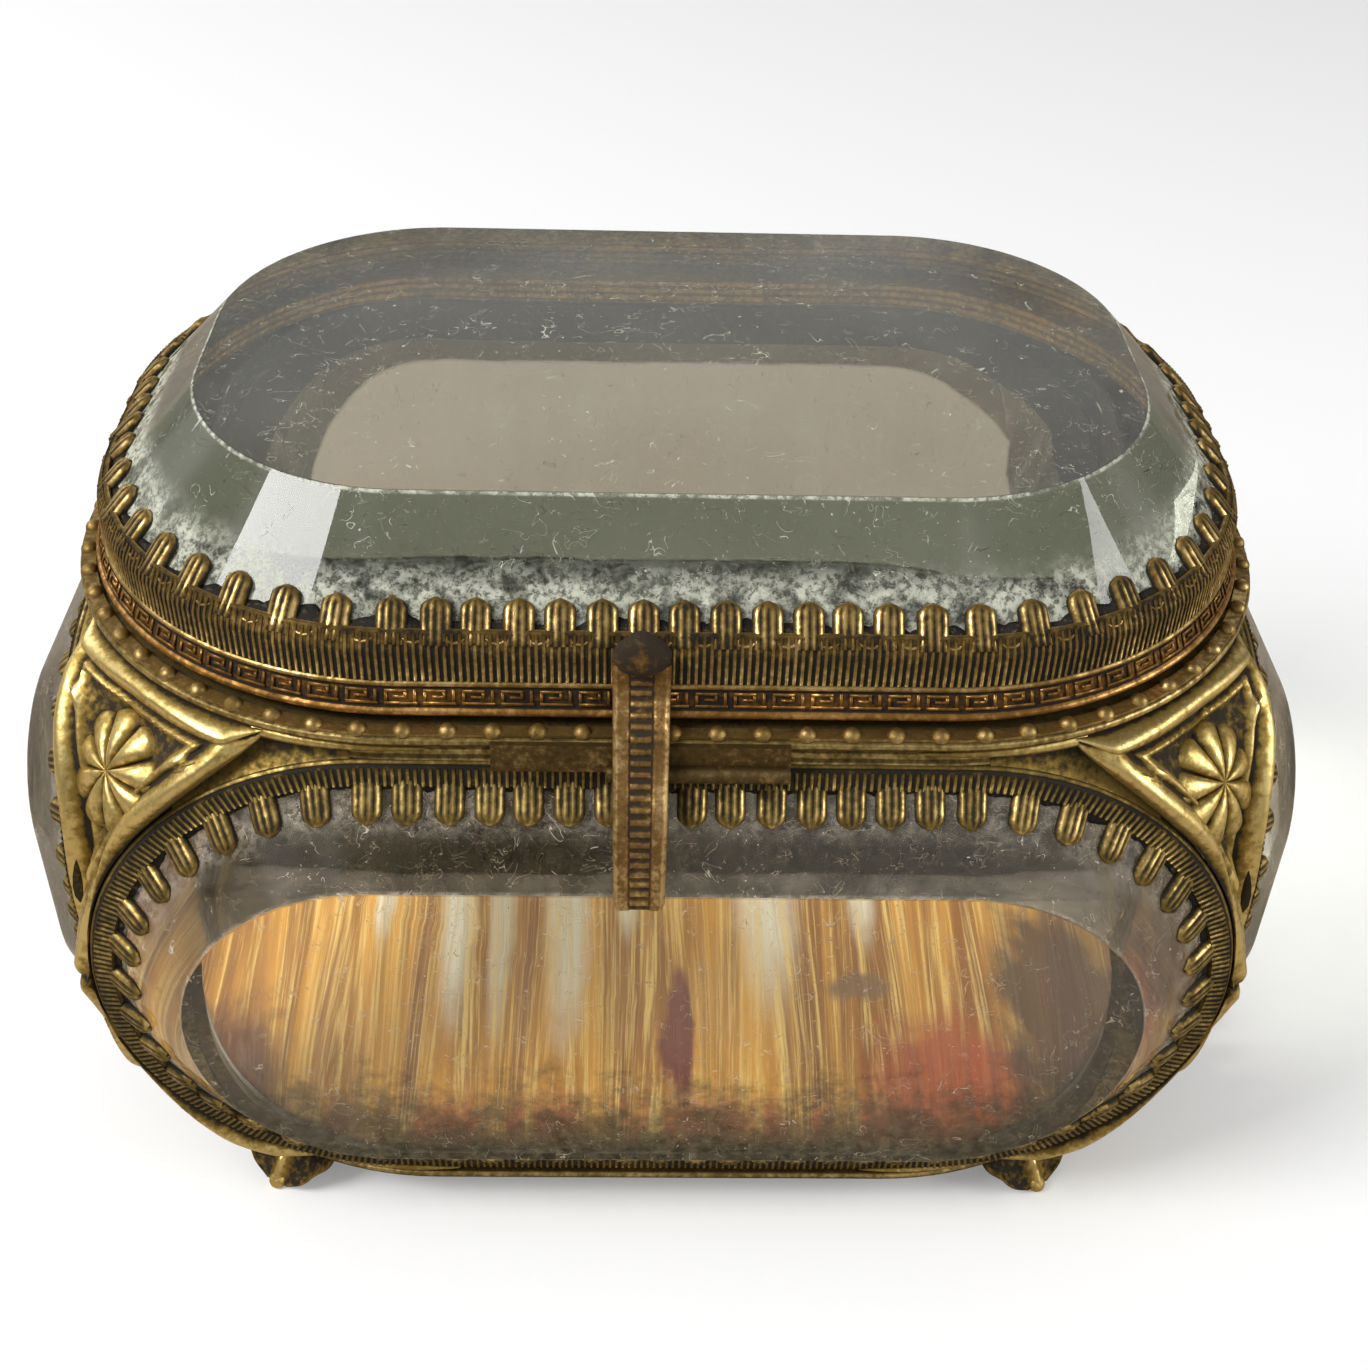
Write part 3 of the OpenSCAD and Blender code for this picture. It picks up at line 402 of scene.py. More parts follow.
# ---- rows of repeated shapes ----
def rowTree():
    tree = bpy.data.node_groups.new("rowAlongEdge", "GeometryNodeTree")
    face = tree.interface
    for label, kind in [("Edge", "Geometry"), ("Count", "Int"), ("Shape", "Object"), ("Turn Spread", "Float"),
                        ("Size Spread", "Float"), ("Seed", "Int"), ("Finish", "Material")]:
        face.new_socket(name=label, in_out="INPUT", socket_type="NodeSocket" + kind)
    face.new_socket(name="Row", in_out="OUTPUT", socket_type="NodeSocketGeometry")
    given, out = tree.nodes.new("NodeGroupInput"), tree.nodes.new("NodeGroupOutput")
    value = given.outputs
    line = addNode(tree, "GeometryNodeMeshToCurve", {0: value["Edge"]})
    spaced = addNode(tree, "GeometryNodeResampleCurve", {"Curve": line.outputs[0], "Count": value["Count"]})
    shape = addNode(tree, "GeometryNodeObjectInfo", {"Object": value["Shape"]})
    along = addNode(tree, "GeometryNodeInputNamedAttribute", {"Name": "along"}, data_type="FLOAT_VECTOR")
    up = addNode(tree, "GeometryNodeInputNamedAttribute", {"Name": "face"}, data_type="FLOAT_VECTOR")
    stand = addNode(tree, "FunctionNodeAxesToRotation", {"Primary Axis": up.outputs[0],
                                                         "Secondary Axis": along.outputs[0]},
                    primary_axis="Z", secondary_axis="X")
    less = addNode(tree, "ShaderNodeMath", {0: 0.0, 1: value["Turn Spread"]}, operation="SUBTRACT")
    sway = addNode(tree, "FunctionNodeRandomValue", {2: less.outputs[0], 3: value["Turn Spread"],
                                                     "Seed": value["Seed"]}, data_type="FLOAT")
    lean = addNode(tree, "ShaderNodeCombineXYZ", {2: sway.outputs[1]})
    turn = addNode(tree, "FunctionNodeEulerToRotation", {0: lean.outputs[0]})
    stood = addNode(tree, "FunctionNodeRotateRotation", {0: stand.outputs[0], 1: turn.outputs[0]},
                    rotation_space="LOCAL")
    smaller = addNode(tree, "ShaderNodeMath", {0: 1.0, 1: value["Size Spread"]}, operation="SUBTRACT")
    larger = addNode(tree, "ShaderNodeMath", {0: 1.0, 1: value["Size Spread"]}, operation="ADD")
    size = addNode(tree, "FunctionNodeRandomValue", {2: smaller.outputs[0], 3: larger.outputs[0],
                                                     "Seed": value["Seed"]}, data_type="FLOAT")
    placed = addNode(tree, "GeometryNodeInstanceOnPoints", {"Points": spaced.outputs[0],
                                                            "Instance": shape.outputs["Geometry"],
                                                            "Rotation": stood.outputs[0], "Scale": size.outputs[1]})
    real = addNode(tree, "GeometryNodeRealizeInstances", {0: placed.outputs[0]})
    done = addNode(tree, "GeometryNodeSetMaterial", {"Geometry": real.outputs[0], "Material": value["Finish"]})
    tree.links.new(done.outputs[0], out.inputs[0])
    return tree


rowAlongEdge = rowTree()


# Puts count copies of a shape along an outline and returns them as one plain mesh piece
def rowOf(name, shape, a, b, r, place, count, material, seed=1, start=0.0, turn=0.0, size=0.0):
    fine = 360
    points, normals = roundOutline(a, b, r, fine, start)
    matrix = np.array(place, float)
    verts = np.concatenate([points, np.zeros((fine, 1))], 1) @ matrix[:3, :3].T + matrix[:3, 3]
    along = np.stack([-normals[:, 1], normals[:, 0], np.zeros(fine)], 1) @ matrix[:3, :3].T
    up = np.tile(matrix[:3, :3] @ np.array([0, 0, 1.0]), (fine, 1))
    mesh = bpy.data.meshes.new(name)
    mesh.from_pydata((verts * mm).tolist(), [(k, (k + 1) % fine) for k in range(fine)], [])
    for label, values in (("along", along), ("face", up)):
        mesh.attributes.new(label, "FLOAT_VECTOR", "POINT").data.foreach_set("vector", values.ravel())
    piece = bpy.data.objects.new(name, mesh)
    collection.objects.link(piece)
    stamp = makePiece(name + "Stamp", shape)
    nodes = piece.modifiers.new("row", "NODES")
    nodes.node_group = rowAlongEdge
    sockets = {s.name: s.identifier for s in rowAlongEdge.interface.items_tree if s.in_out == "INPUT"}
    for label, value in {"Count": count, "Shape": stamp, "Turn Spread": turn, "Size Spread": size, "Seed": seed,
                         "Finish": material}.items():
        nodes[sockets[label]] = value
    bpy.context.view_layer.update()
    result = bpy.data.meshes.new_from_object(piece.evaluated_get(bpy.context.evaluated_depsgraph_get()))
    piece.modifiers.clear()
    piece.data = result
    bpy.data.objects.remove(stamp)
    if len(result.polygons) == 0:
        raise ValueError(name + " came out empty")
    return piece


# A prong that lies on a bevel: ribbed along its length, domed, with a pointed round tip and a raised edge
prong = {"columns": 9, "rows": 9, "spread": 1.13, "tuck": 0.7, "rib": 0.12, "dome": 0.24, "tipShare": 0.32,
         "thick": 0.62}


def prongShape(root, bevelW, bevelH, length, width):
    slope = math.atan2(bevelH, bevelW)
    rootHeight = casket["glassEdge"] + bevelH * (bevelW - root) / bevelW
    columns, rows = prong["columns"], prong["rows"]
    verts, dirtAndShade = [], []
    ways = np.concatenate([np.linspace(-prong["tuck"], length * (1 - prong["tipShare"]), rows - 4),
                           length * np.array([0.80, 0.90, 0.965, 1.0])])
    for u in np.linspace(-1, 1, columns):
        rib = 1 if round((u + 1) * 4) % 2 else 0
        for s in ways:
            v = s / length
            tip = max(0.0, (v - (1 - prong["tipShare"])) / prong["tipShare"])
            half = width / 2 * prong["spread"] * (1 - 0.86 * tip ** 2.7)
            fade = 1 - tip
            drop = 0.14 * u ** 4 + 0.16 * tip ** 3
            height = prong["thick"] + prong["dome"] * (1 - u * u) * (0.55 + 0.45 * fade) - drop * 1.6
            height += prong["rib"] * (rib - 0.5) * fade
            verts.append((u * half, s, height))
            # Ribs and the tip are marked bright, grooves and the lower edge dark: rubbed wear and dirt, with a painted
            # highlight on the ribs and painted shade in the grooves
            wearAndShade = 0.42 - 0.5 * rib * fade + 0.34 * (1 - rib) * fade + 0.25 * max(0, 0.35 - v)
            dirtAndShade.append(wearAndShade if abs(u) < 0.95 and v < 0.95 else (0.62 if v < 0.85 else 0.1))
    top = len(verts)
    faces = gridFaces(columns, rows)
    ring = [j for j in range(rows)] + [i * rows + rows - 1 for i in range(1, columns)] \
        + [(columns - 1) * rows + j for j in range(rows - 2, -1, -1)] + [i * rows for i in range(columns - 2, 0, -1)]
    for k in ring:
        x, s, _ = verts[k]
        verts.append((x * 1.02, s + (0.02 if s > 0 else 0), 0.07))
        dirtAndShade.append(0.95)
    count = len(ring)
    for k in range(count):
        m = (k + 1) % count
        faces.append((ring[k], ring[m], top + m, top + k))
    faces.append(tuple(top + k for k in range(count)))
    verts = np.array(verts)
    place = np.zeros_like(verts)
    place[:, 0] = verts[:, 0]
    place[:, 1] = -root + verts[:, 1] * math.cos(slope) - verts[:, 2] * math.sin(slope)
    place[:, 2] = rootHeight + verts[:, 1] * math.sin(slope) + verts[:, 2] * math.cos(slope)
    return place, faces, np.array(dirtAndShade)


# A small curl of the band's edge that joins two prongs, hollow towards the glass
def scallopShape(root, bevelW, bevelH, gap):
    slope = math.atan2(bevelH, bevelW)
    rootHeight = casket["glassEdge"] + bevelH * (bevelW - root) / bevelW
    verts, dirtAndShade = [], []
    for t in np.linspace(0, math.pi, 7):
        cx, cs = gap * math.cos(t), 0.25 - gap * 0.85 * math.sin(t)
        out = np.array([math.cos(t), -math.sin(t)])
        for k in range(5):
            a = 2 * math.pi * k / 5
            verts.append((cx + 0.2 * math.cos(a) * out[0], cs + 0.2 * math.cos(a) * out[1], 0.52 + 0.24 * math.sin(a)))
            # The curl's upper half is marked bright and its underside dark: painted light on top, painted shade beneath
            dirtAndShade.append(0.15 if math.sin(a) > 0 else 0.85)
    faces = gridFaces(7, 5, 0, False, True, flip=True) + [tuple(range(5)), tuple(range(34, 29, -1))]
    verts = np.array(verts)
    place = np.zeros_like(verts)
    place[:, 0] = verts[:, 0]
    place[:, 1] = -root + verts[:, 1] * math.cos(slope) - verts[:, 2] * math.sin(slope)
    place[:, 2] = rootHeight + verts[:, 1] * math.sin(slope) + verts[:, 2] * math.cos(slope)
    return place, faces, np.array(dirtAndShade)


# A rib laid along points given as (distance inward from the outline, height), raised off the band
def ribShape(line, width, rise):
    line = np.array(line, float)
    verts, dirtAndShade = [], []
    for k, (y, z) in enumerate(line):
        d = line[min(k + 1, len(line) - 1)] - line[max(k - 1, 0)]
        d = d / np.linalg.norm(d)
        off = np.array([-d[1], d[0]])
        # The crest is marked bright and the flanks dark: painted highlight on the crest, painted shade and dirt beside
        # it
        for x, up, g in ((-width / 2, -0.05, 0.95), (-width / 5, rise, 0.22), (width / 5, rise, 0.22),
                         (width / 2, -0.05, 0.95)):
            verts.append((x, y + off[0] * up, z + off[1] * up))
            dirtAndShade.append(g)
    faces = gridFaces(len(line), 4, 0, False, True, flip=True)
    last = 4 * (len(line) - 1)
    faces += [(0, 1, 2, 3), (last + 3, last + 2, last + 1, last)]
    return np.array(verts), faces, np.array(dirtAndShade)


# ---- lid ----
lid = {"inner": 8.65, "outer": 9.35, "fretFlare": 0.8, "fretTop": 65.2, "lip": 0.6, "root": 8.2, "prongLength": 3.2,
       "ribPitch": 0.6, "keyPitch": 3.1}
lidShape = (casket["lidA"], casket["lidB"], casket["lidR"])
lidPlace = Matrix.Translation((0, casket["shiftY"], casket["lidGlassZ"]))
lidFlat = Matrix.Translation((0, casket["shiftY"], 0))


def lidBand():
    inner, outer, flare, top = lid["inner"], lid["outer"], lid["fretFlare"], lid["fretTop"]
    foot = casket["lidGlassZ"] + casket["glassEdge"]
    rise = lid["lip"] * casket["lidBevelH"] / casket["lidBevelW"]
    z, rootZ = casket["lidZ"], casket["rootZ"]
    # Low values on the rolled wires and high ones in the coves: a painted highlight on the wires, painted shade and
    # dirt in the coves
    profile = [(inner + flare, z, 0.9)]
    profile += wireArc(outer + flare - 0.1, z + 0.35, 0.35, -80, 75, 8, 0.12)
    profile += [(outer + flare - 0.12, z + 0.78, 0.95), (outer + 0.55, z + 1.1, 0.5), (outer + 0.16, top - 0.5, 0.55),
                (outer + 0.04, top - 0.28, 0.95)]
    profile += wireArc(outer, top, 0.25, -70, 70, 6, 0.1)
    profile += [(outer - 0.02, top + 0.3, 0.95), (outer - 0.02, rootZ - 0.3, 0.75), (outer - 0.12, rootZ + 0.15, 0.6),
                (inner - lid["lip"] + 0.5, foot + rise + 0.72, 0.5), (inner - lid["lip"] + 0.2, foot + rise + 0.72, 0.1),
                (inner - lid["lip"], foot + rise + 0.3, 0.9), (inner, foot + 0.3, 1.0), (inner, top, 0.8)]
    return moved(sweptRing(*lidShape, profile, 320), lidFlat)


# One unit of the fret: a squared spiral of thin bars on the flared skirt
def keyShape():
    bars = [(-1.3, -0.62, 1.3, -0.4), (-1.3, 0.4, 0.45, 0.62), (-1.3, -0.4, -1.08, 0.4), (0.23, -0.08, 0.45, 0.4),
            (-0.62, -0.08, 0.23, 0.12), (0.98, -0.4, 1.2, 0.62)]
    parts = []
    low, high = np.array([0.66, casket["lidZ"] + 0.85]), np.array([0.06, lid["fretTop"] - 0.3])
    along = (high - low) / np.linalg.norm(high - low)
    middle, off = (low + high) / 2, np.array([along[1], -along[0]])
    for x0, s0, x1, s1 in bars:
        verts = []
        for up in (-0.05, 0.17):
            for x, s in ((x0, s0), (x1, s0), (x1, s1), (x0, s1)):
                d, z = middle + along * s + off * up
                verts.append((x, -d, z))
        faces = [(3, 2, 1, 0), (4, 5, 6, 7)] + [(k, (k + 1) % 4, (k + 1) % 4 + 4, k + 4) for k in range(4)]
        # Top faces of the bars get a low value and the lower faces a high one: painted highlight above, painted shade
        # below
        parts.append((np.array(verts), faces, np.array([0.95] * 4 + [0.2] * 4)))
    return merged(parts)


# Dirt packed between the prongs, its inner edge uneven
def dirtStrip(a, b, r, root, bevelW, bevelH, place, seed, reach, count=720):
    draw = np.random.default_rng(seed)
    rough = np.convolve(np.tile(draw.random(count), 3), np.ones(5) / 5, "same")[count:2 * count]
    slope = math.atan2(bevelH, bevelW)
    points, normals = roundOutline(a, b, r, count)
    verts, dirtAndShade = [], []
    for k in range(count):
        far = reach * (0.35 + 1.3 * rough[k])
        for s, h in ((-0.5, 0.03), (-0.5, 0.4), (far * 0.4, 0.24), (far, 0.03)):
            out = root - s * math.cos(slope) + h * math.sin(slope)
            z = casket["glassEdge"] + bevelH * (bevelW - root) / bevelW + s * math.sin(slope) + h * math.cos(slope)
            verts.append((*(points[k] + normals[k] * out), z))
            dirtAndShade.append(1.0)
    return moved((np.array(verts), gridFaces(count, 4, 0, True, True), np.array(dirtAndShade)), place)


def platePiece(a, b, r, bevelW, bevelH, arris=0.16, count=288):
    edge = casket["glassEdge"]
    slope = math.atan2(bevelH, bevelW)
    top = edge + bevelH
    profile = [(bevelW - 0.25, 0, 0), (bevelW, 0.25, 0.25), (bevelW, edge - 0.2, 0.25),
               (bevelW - 0.25 * math.cos(slope), edge + 0.25 * math.sin(slope), 1.0),
               (bevelW * 0.66, edge + bevelH * 0.34, 1.0), (bevelW * 0.52, edge + bevelH * 0.48, 0.62),
               (bevelW * 0.40, edge + bevelH * 0.60, 0.34), (bevelW * 0.25, edge + bevelH * 0.75, 0.25),
               # The rows at the arris carry full value, so the haze draws a pale line along the edge: a painted
               # highlight
               (2.5 * arris * math.cos(slope), top - 2.5 * arris * math.sin(slope), 0.3),
               (arris * math.cos(slope), top - arris * math.sin(slope), 1.0), (0.03, top - 0.03, 1.0),
               (-arris, top, 0)]
    section = np.array(profile)
    points, normals = roundOutline(a, b, r, count)
    rows = len(section)
    verts = np.zeros((count, rows, 3))
    verts[:, :, :2] = points[:, None, :] + normals[:, None, :] * section[None, :, 0:1]
    verts[:, :, 2] = section[None, :, 1]
    faces = gridFaces(count, rows, 0, True)
    faces.append(tuple(k * rows for k in range(count - 1, -1, -1)))
    faces.append(tuple(k * rows + rows - 1 for k in range(count)))
    return verts.reshape(-1, 3), faces, np.tile(section[:, 2], count)


def ridesOn(piece, body, slot, *nodes):
    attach(piece, body)
    if nodes:
        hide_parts(*nodes)
    return piece


lidPlate = makePiece("lid_plate", moved(platePiece(*lidShape, casket["lidBevelW"], casket["lidBevelH"]), lidPlace),
                     glass["lidPlate"], 14)
ridesOn(lidPlate, "lid", "glass", "lid_glass")
band = makePiece("lid_band", lidBand(), gilt["giltLid"], 40)
ridesOn(band, "lid", "gilt_lid", "lid_bezel")

prongCount = round(roundLength(*(v + lid["root"] for v in lidShape)) / casket["prongPitch"])
lidStep = roundLength(*lidShape) / prongCount
lidProngs = rowOf("lid_prongs", prongShape(lid["root"], casket["lidBevelW"], casket["lidBevelH"], lid["prongLength"],
                                           casket["prongW"]),
                  *lidShape, lidPlace, prongCount, gilt["giltLid"], 3, casket["claspX"], 0.018, 0.012)
ridesOn(lidProngs, "lid", "gilt_lid")
lidScallops = rowOf("lid_scallops", scallopShape(lid["root"], casket["lidBevelW"], casket["lidBevelH"], 0.92),
                    *lidShape, lidPlace, prongCount, gilt["giltLid"], 4, casket["claspX"] + lidStep / 2)
ridesOn(lidScallops, "lid", "gilt_lid")
bandShape = (casket["bandA"], casket["bandB"], casket["bandR"])
lidRibs = rowOf("lid_ribs", ribShape([(0.02, lid["fretTop"] + 0.32), (0.02, casket["rootZ"] - 0.25),
                                      (0.16, casket["rootZ"] + 0.2), (0.72, casket["rootZ"] + 1.25)], 0.42, 0.14),
                *bandShape, lidFlat, round(roundLength(*bandShape) / lid["ribPitch"]), gilt["giltLid"], 5)
ridesOn(lidRibs, "lid", "gilt_lid")
lidKeys = rowOf("lid_fret", keyShape(), *bandShape, lidFlat, round(roundLength(*bandShape) / lid["keyPitch"]),
                gilt["giltLid"], 6)
ridesOn(lidKeys, "lid", "gilt_lid")
lidDirt = makePiece("lid_dirt", dirtStrip(*lidShape, lid["root"], casket["lidBevelW"], casket["lidBevelH"], lidPlace,
                                          11, 1.5), grimeCrust)
ridesOn(lidDirt, "lid", "gilt_lid")
print("lid is dressed")

# ---- side panels ----
bezel = {"root": 7.0, "prongLength": 3.7, "ribPitch": 0.62}


def bezelBand(shape):
    width, reach, face = casket["sideBevelW"], casket["bezelReach"], casket["bandFace"]
    edge, sheet = width + 0.05, casket["sheet"]
    lift = casket["glassEdge"] + casket["sideBevelH"] * (width - bezel["root"]) / width
    # The rolled edge and the lip are marked bright and the folds dark: painted highlight on the edges, painted shade
    # and dirt in the folds
    profile = [(width - 2.6, -0.05 - sheet, 0.9), (edge + sheet, -0.05 - sheet, 0.9), (edge + sheet, face - sheet - 0.3, 0.9),
               (reach, face - sheet, 0.8), (reach, face - 0.15, 0.6), (reach - 0.06, face + 0.06, 0.15),
               (reach - 0.2, face + 0.2, 0.3), (reach - 0.34, face + 0.2, 0.9), (reach - 0.46, face + 0.42, 0.7),
               (reach - 0.85, face + 0.58, 0.7), (edge, lift + 0.73, 0.72), (bezel["root"] + 0.15, lift + 0.8, 0.5),
               (bezel["root"] - 0.02, lift + 0.45, 0.2), (bezel["root"], lift + 0.05, 0.95),
               (edge, casket["glassEdge"] + 0.05, 1.0), (edge, -0.05, 1.0), (width - 2.6, -0.05, 1.0)]
    return sweptRing(*shape, profile, 288)


for side, panel in sides.items():
    place = sideMatrix(panel["turn"], panel["plane"])
    shape = (panel["a"], casket["tableB"], panel["r"])
    bevel = (casket["sideBevelW"], casket["sideBevelH"])
    plate = makePiece(side + "_plate", moved(platePiece(*shape, *bevel), place), glass["sidePlate"], 14)
    ridesOn(plate, "casket_body", "glass", side + "_glass")
    frameBand = makePiece(side + "_band", moved(bezelBand(shape), place), gilt["giltBezel"], 40)
    ridesOn(frameBand, "casket_body", "gilt", side + "_bezel")
    count = round(roundLength(*(v + bezel["root"] for v in shape)) / casket["prongPitch"])
    step = roundLength(*shape) / count
    seed = 20 + len(side) * 3
    row = rowOf(side + "_prongs", prongShape(bezel["root"], *bevel, bezel["prongLength"], casket["prongW"]), *shape,
                place, count, gilt["giltBezel"], seed, 0, 0.022, 0.012)
    ridesOn(row, "casket_body", "gilt")
    row = rowOf(side + "_scallops", scallopShape(bezel["root"], *bevel, 0.92), *shape, place, count,
                gilt["giltBezel"], seed + 1, step / 2)
    ridesOn(row, "casket_body", "gilt")
    grown = tuple(v + 8.7 for v in shape)
    row = rowOf(side + "_ribs", ribShape([(0.0, 2.86), (0.35, 3.0), (1.62, 3.17)], 0.42, 0.12), *grown, place,
                round(roundLength(*grown) / bezel["ribPitch"]), gilt["giltBezel"], seed + 2)
    ridesOn(row, "casket_body", "gilt")
    darkening = makePiece(side + "_dirt", dirtStrip(*shape, bezel["root"], *bevel, place, seed, 0.8), grimeCrust)
    ridesOn(darkening, "casket_body", "gilt")
print("side panels are dressed")

# ---- corner pieces ----
corner = {"columns": 66, "rows": 84, "swell": 1.1, "lift": 2.22, "reach": 2.4, "tip": 1.2, "span": 18.0,
          "rollAt": 1.15, "rollHalf": 1.1, "rollHeight": 1.0, "ridgeAt": 2.85, "ridgeHalf": 0.42, "ridgeHeight": 0.5,
          "rosetteR": 5.7, "petals": 9, "rosetteAt": 0.29}
frontArc = casket["tableB"] + casket["bezelReach"] + 0.12
endArc = casket["endR"] + casket["bezelReach"] + 0.12
endStraight = casket["tableB"] - casket["endR"]
halfH = casket["panelH"] / 2
frontStart = math.acos((halfH - corner["tip"]) / frontArc)
endStart = math.acos((halfH - corner["tip"] - endStraight) / endArc)


def frontEdge(t):
    turn = frontStart + (math.pi / 2 - frontStart) * t
    return np.array([casket["frontA"] - casket["tableB"] + frontArc * math.sin(turn),
                     -casket["frontPlane"] - casket["bandFace"], frontArc * math.cos(turn)])


def endEdge(t):
    s = t * (endStraight + endArc * (math.pi / 2 - endStart))
    base = -(casket["endA"] - casket["endR"])
    x = casket["endPlane"] + casket["bandFace"]
    if s < endStraight:
        return np.array([x, base - endArc, s])
    turn = (s - endStraight) / endArc
    return np.array([x, base - endArc * math.cos(turn), endStraight + endArc * math.sin(turn)])


def cornerHigh(i, lift):
    radius = casket["bandR"] + corner["reach"]
    a0, b0 = casket["bandA"] - casket["bandR"], casket["bandB"] - casket["bandR"]
    first = math.asin((frontEdge(0)[0] - a0) / radius)
    last = math.acos((-endEdge(1)[1] - b0) / radius)
    turn = first + (last - first) * i / corner["span"]
    return np.array([a0 + radius * math.sin(turn), -b0 - radius * math.cos(turn), halfH + lift - 0.02])


def cornerLow(i, lift):
    middle, rise, sink = corner["span"] / 2, np.array([0, 0, 0.12]), np.array([0, 0, -0.5])
    waist = (frontEdge(1) + endEdge(0)) / 2 + np.array([0.6, -0.6, 0])
    if abs(i - middle) < 1:
        f, v = i - middle, (frontEdge(1), waist, endEdge(0))
        return v[1] + (v[2] - v[0]) / 2 * f + (v[0] + v[2] - 2 * v[1]) / 2 * f * f + rise
    t = i / (middle - 1) if i < middle else (i - middle - 1) / (middle - 1)
    near = max(0, 1 - (t if i < middle else 1 - t) / 0.35)
    edge = (frontEdge(t) if i < middle else endEdge(t)) + rise
    return edge * (1 - near * near) + (cornerHigh(i, lift) + sink) * near * near


def cornerOut(i):
    turn = math.pi / 2 * i / corner["span"]
    v = np.array([math.sin(turn), -math.cos(turn), 0.6 * math.sin(2 * turn)])
    return v / np.linalg.norm(v)


def awayFrom(points, line):
    best = np.full(len(points), 1e9)
    for k in range(len(line) - 1):
        p, d = line[k], line[k + 1] - line[k]
        t = np.clip((points - p) @ d / max(d @ d, 1e-9), 0, 1)
        best = np.minimum(best, np.linalg.norm(points - p - t[:, None] * d, axis=1))
    return best


def cornerPatch(lift):
    columns, rows, span = corner["columns"], corner["rows"], corner["span"]
    steps = np.linspace(0, span, columns)
    high = np.array([cornerHigh(i, lift) for i in steps])
    low = np.array([cornerLow(i, lift) for i in steps])
    out = np.array([cornerOut(i) for i in steps])
    lengths = np.linalg.norm(low - high, axis=1)
    e = np.linspace(0, 1, rows)
    ways = 0.5 * (1 - np.cos(math.pi * e)) * 0.55 + e * 0.45
    base = high[:, None, :] * (1 - ways[None, :, None]) + low[:, None, :] * ways[None, :, None]
    swell = corner["swell"] * np.sin(math.pi * ways)[None, :] * np.minimum(1, lengths / 12)[:, None]
    flat = (base + out[:, None, :] * swell[:, :, None]).reshape(-1, 3)
    half = columns // 2
    away = np.minimum(awayFrom(flat, high[::2]), np.minimum(awayFrom(flat, low[:half + 1:2]), awayFrom(flat, low[half::2])))
    shrink = np.repeat(np.minimum(1, lengths / 7.5), rows)
    d = away / np.maximum(shrink, 0.05)
    roll = np.maximum(0, 1 - ((d - corner["rollAt"]) / corner["rollHalf"]) ** 2) ** 0.8
    ridge = np.maximum(0, 1 - ((d - corner["ridgeAt"]) / corner["ridgeHalf"]) ** 2)
    height = corner["rollHeight"] * roll + corner["ridgeHeight"] * ridge
    # Roll and ridge are marked bright, the creases and the field dark, and the buds below are brightened too: painted
    # highlight on the raised parts, painted shade and dirt in the creases
    dirtAndShade = 0.78 - 0.78 * roll - 0.6 * ridge + 0.3 * np.exp(-((d - 2.3) / 0.22) ** 2) + 0.25 * np.exp(-(d / 0.2) ** 2)
    middle = span / 2
    seat = cornerHigh(middle, lift) * (1 - corner["rosetteAt"]) + cornerLow(middle, lift) * corner["rosetteAt"]
    centre = seat + cornerOut(middle) * corner["swell"] * math.sin(math.pi * corner["rosetteAt"])
    for i, t, reach in ((middle * 0.36, 0.36, 1.5), (middle * 1.64, 0.36, 1.5), (middle, 0.66, 2.4)):
        p = cornerHigh(i, lift) * (1 - t) + cornerLow(i, lift) * t + cornerOut(i) * corner["swell"] * 0.8
        e1 = p - centre
        e1 = e1 / np.linalg.norm(e1)
        rel = flat - p
        lengthwise = rel @ e1
        across = np.linalg.norm(rel - lengthwise[:, None] * e1, axis=1)
        bud = np.exp(-(lengthwise / reach) ** 2 - (across / (0.62 * (1 - 0.2 * lengthwise))) ** 2)
        height += 0.6 * bud * (d > 2)
        dirtAndShade -= 0.6 * bud - 0.35 * np.exp(-(across / 0.12) ** 2) * (bud > 0.3)
    height *= np.repeat(np.minimum(1, lengths / 7.5), rows)
    front = flat + np.repeat(out, rows, axis=0) * height[:, None]
    beside = np.array([[0, -1.0, 0]] * half + [[1.0, 0, 0]] * (columns - half))
    share = (ways ** 3)[None, :, None]
    depth = (out[:, None, :] * (1 - share) + beside[:, None, :] * share).reshape(-1, 3)
    back = flat - depth * casket["sheet"]
    faces = gridFaces(columns, rows, 0, flip=True) + gridFaces(columns, rows, columns * rows)
    total = columns * rows
    ring = [j for j in range(rows)] + [i * rows + rows - 1 for i in range(1, columns)] \
        + [(columns - 1) * rows + j for j in range(rows - 2, -1, -1)] + [i * rows for i in range(columns - 2, 0, -1)]
    for k in range(len(ring)):
        m = (k + 1) % len(ring)
        faces.append((ring[k], ring[k] + total, ring[m] + total, ring[m]))
    part = (np.concatenate([front, back]), faces, np.concatenate([dirtAndShade, np.full(total, 0.9)]))
    return part, centre, cornerOut(middle)


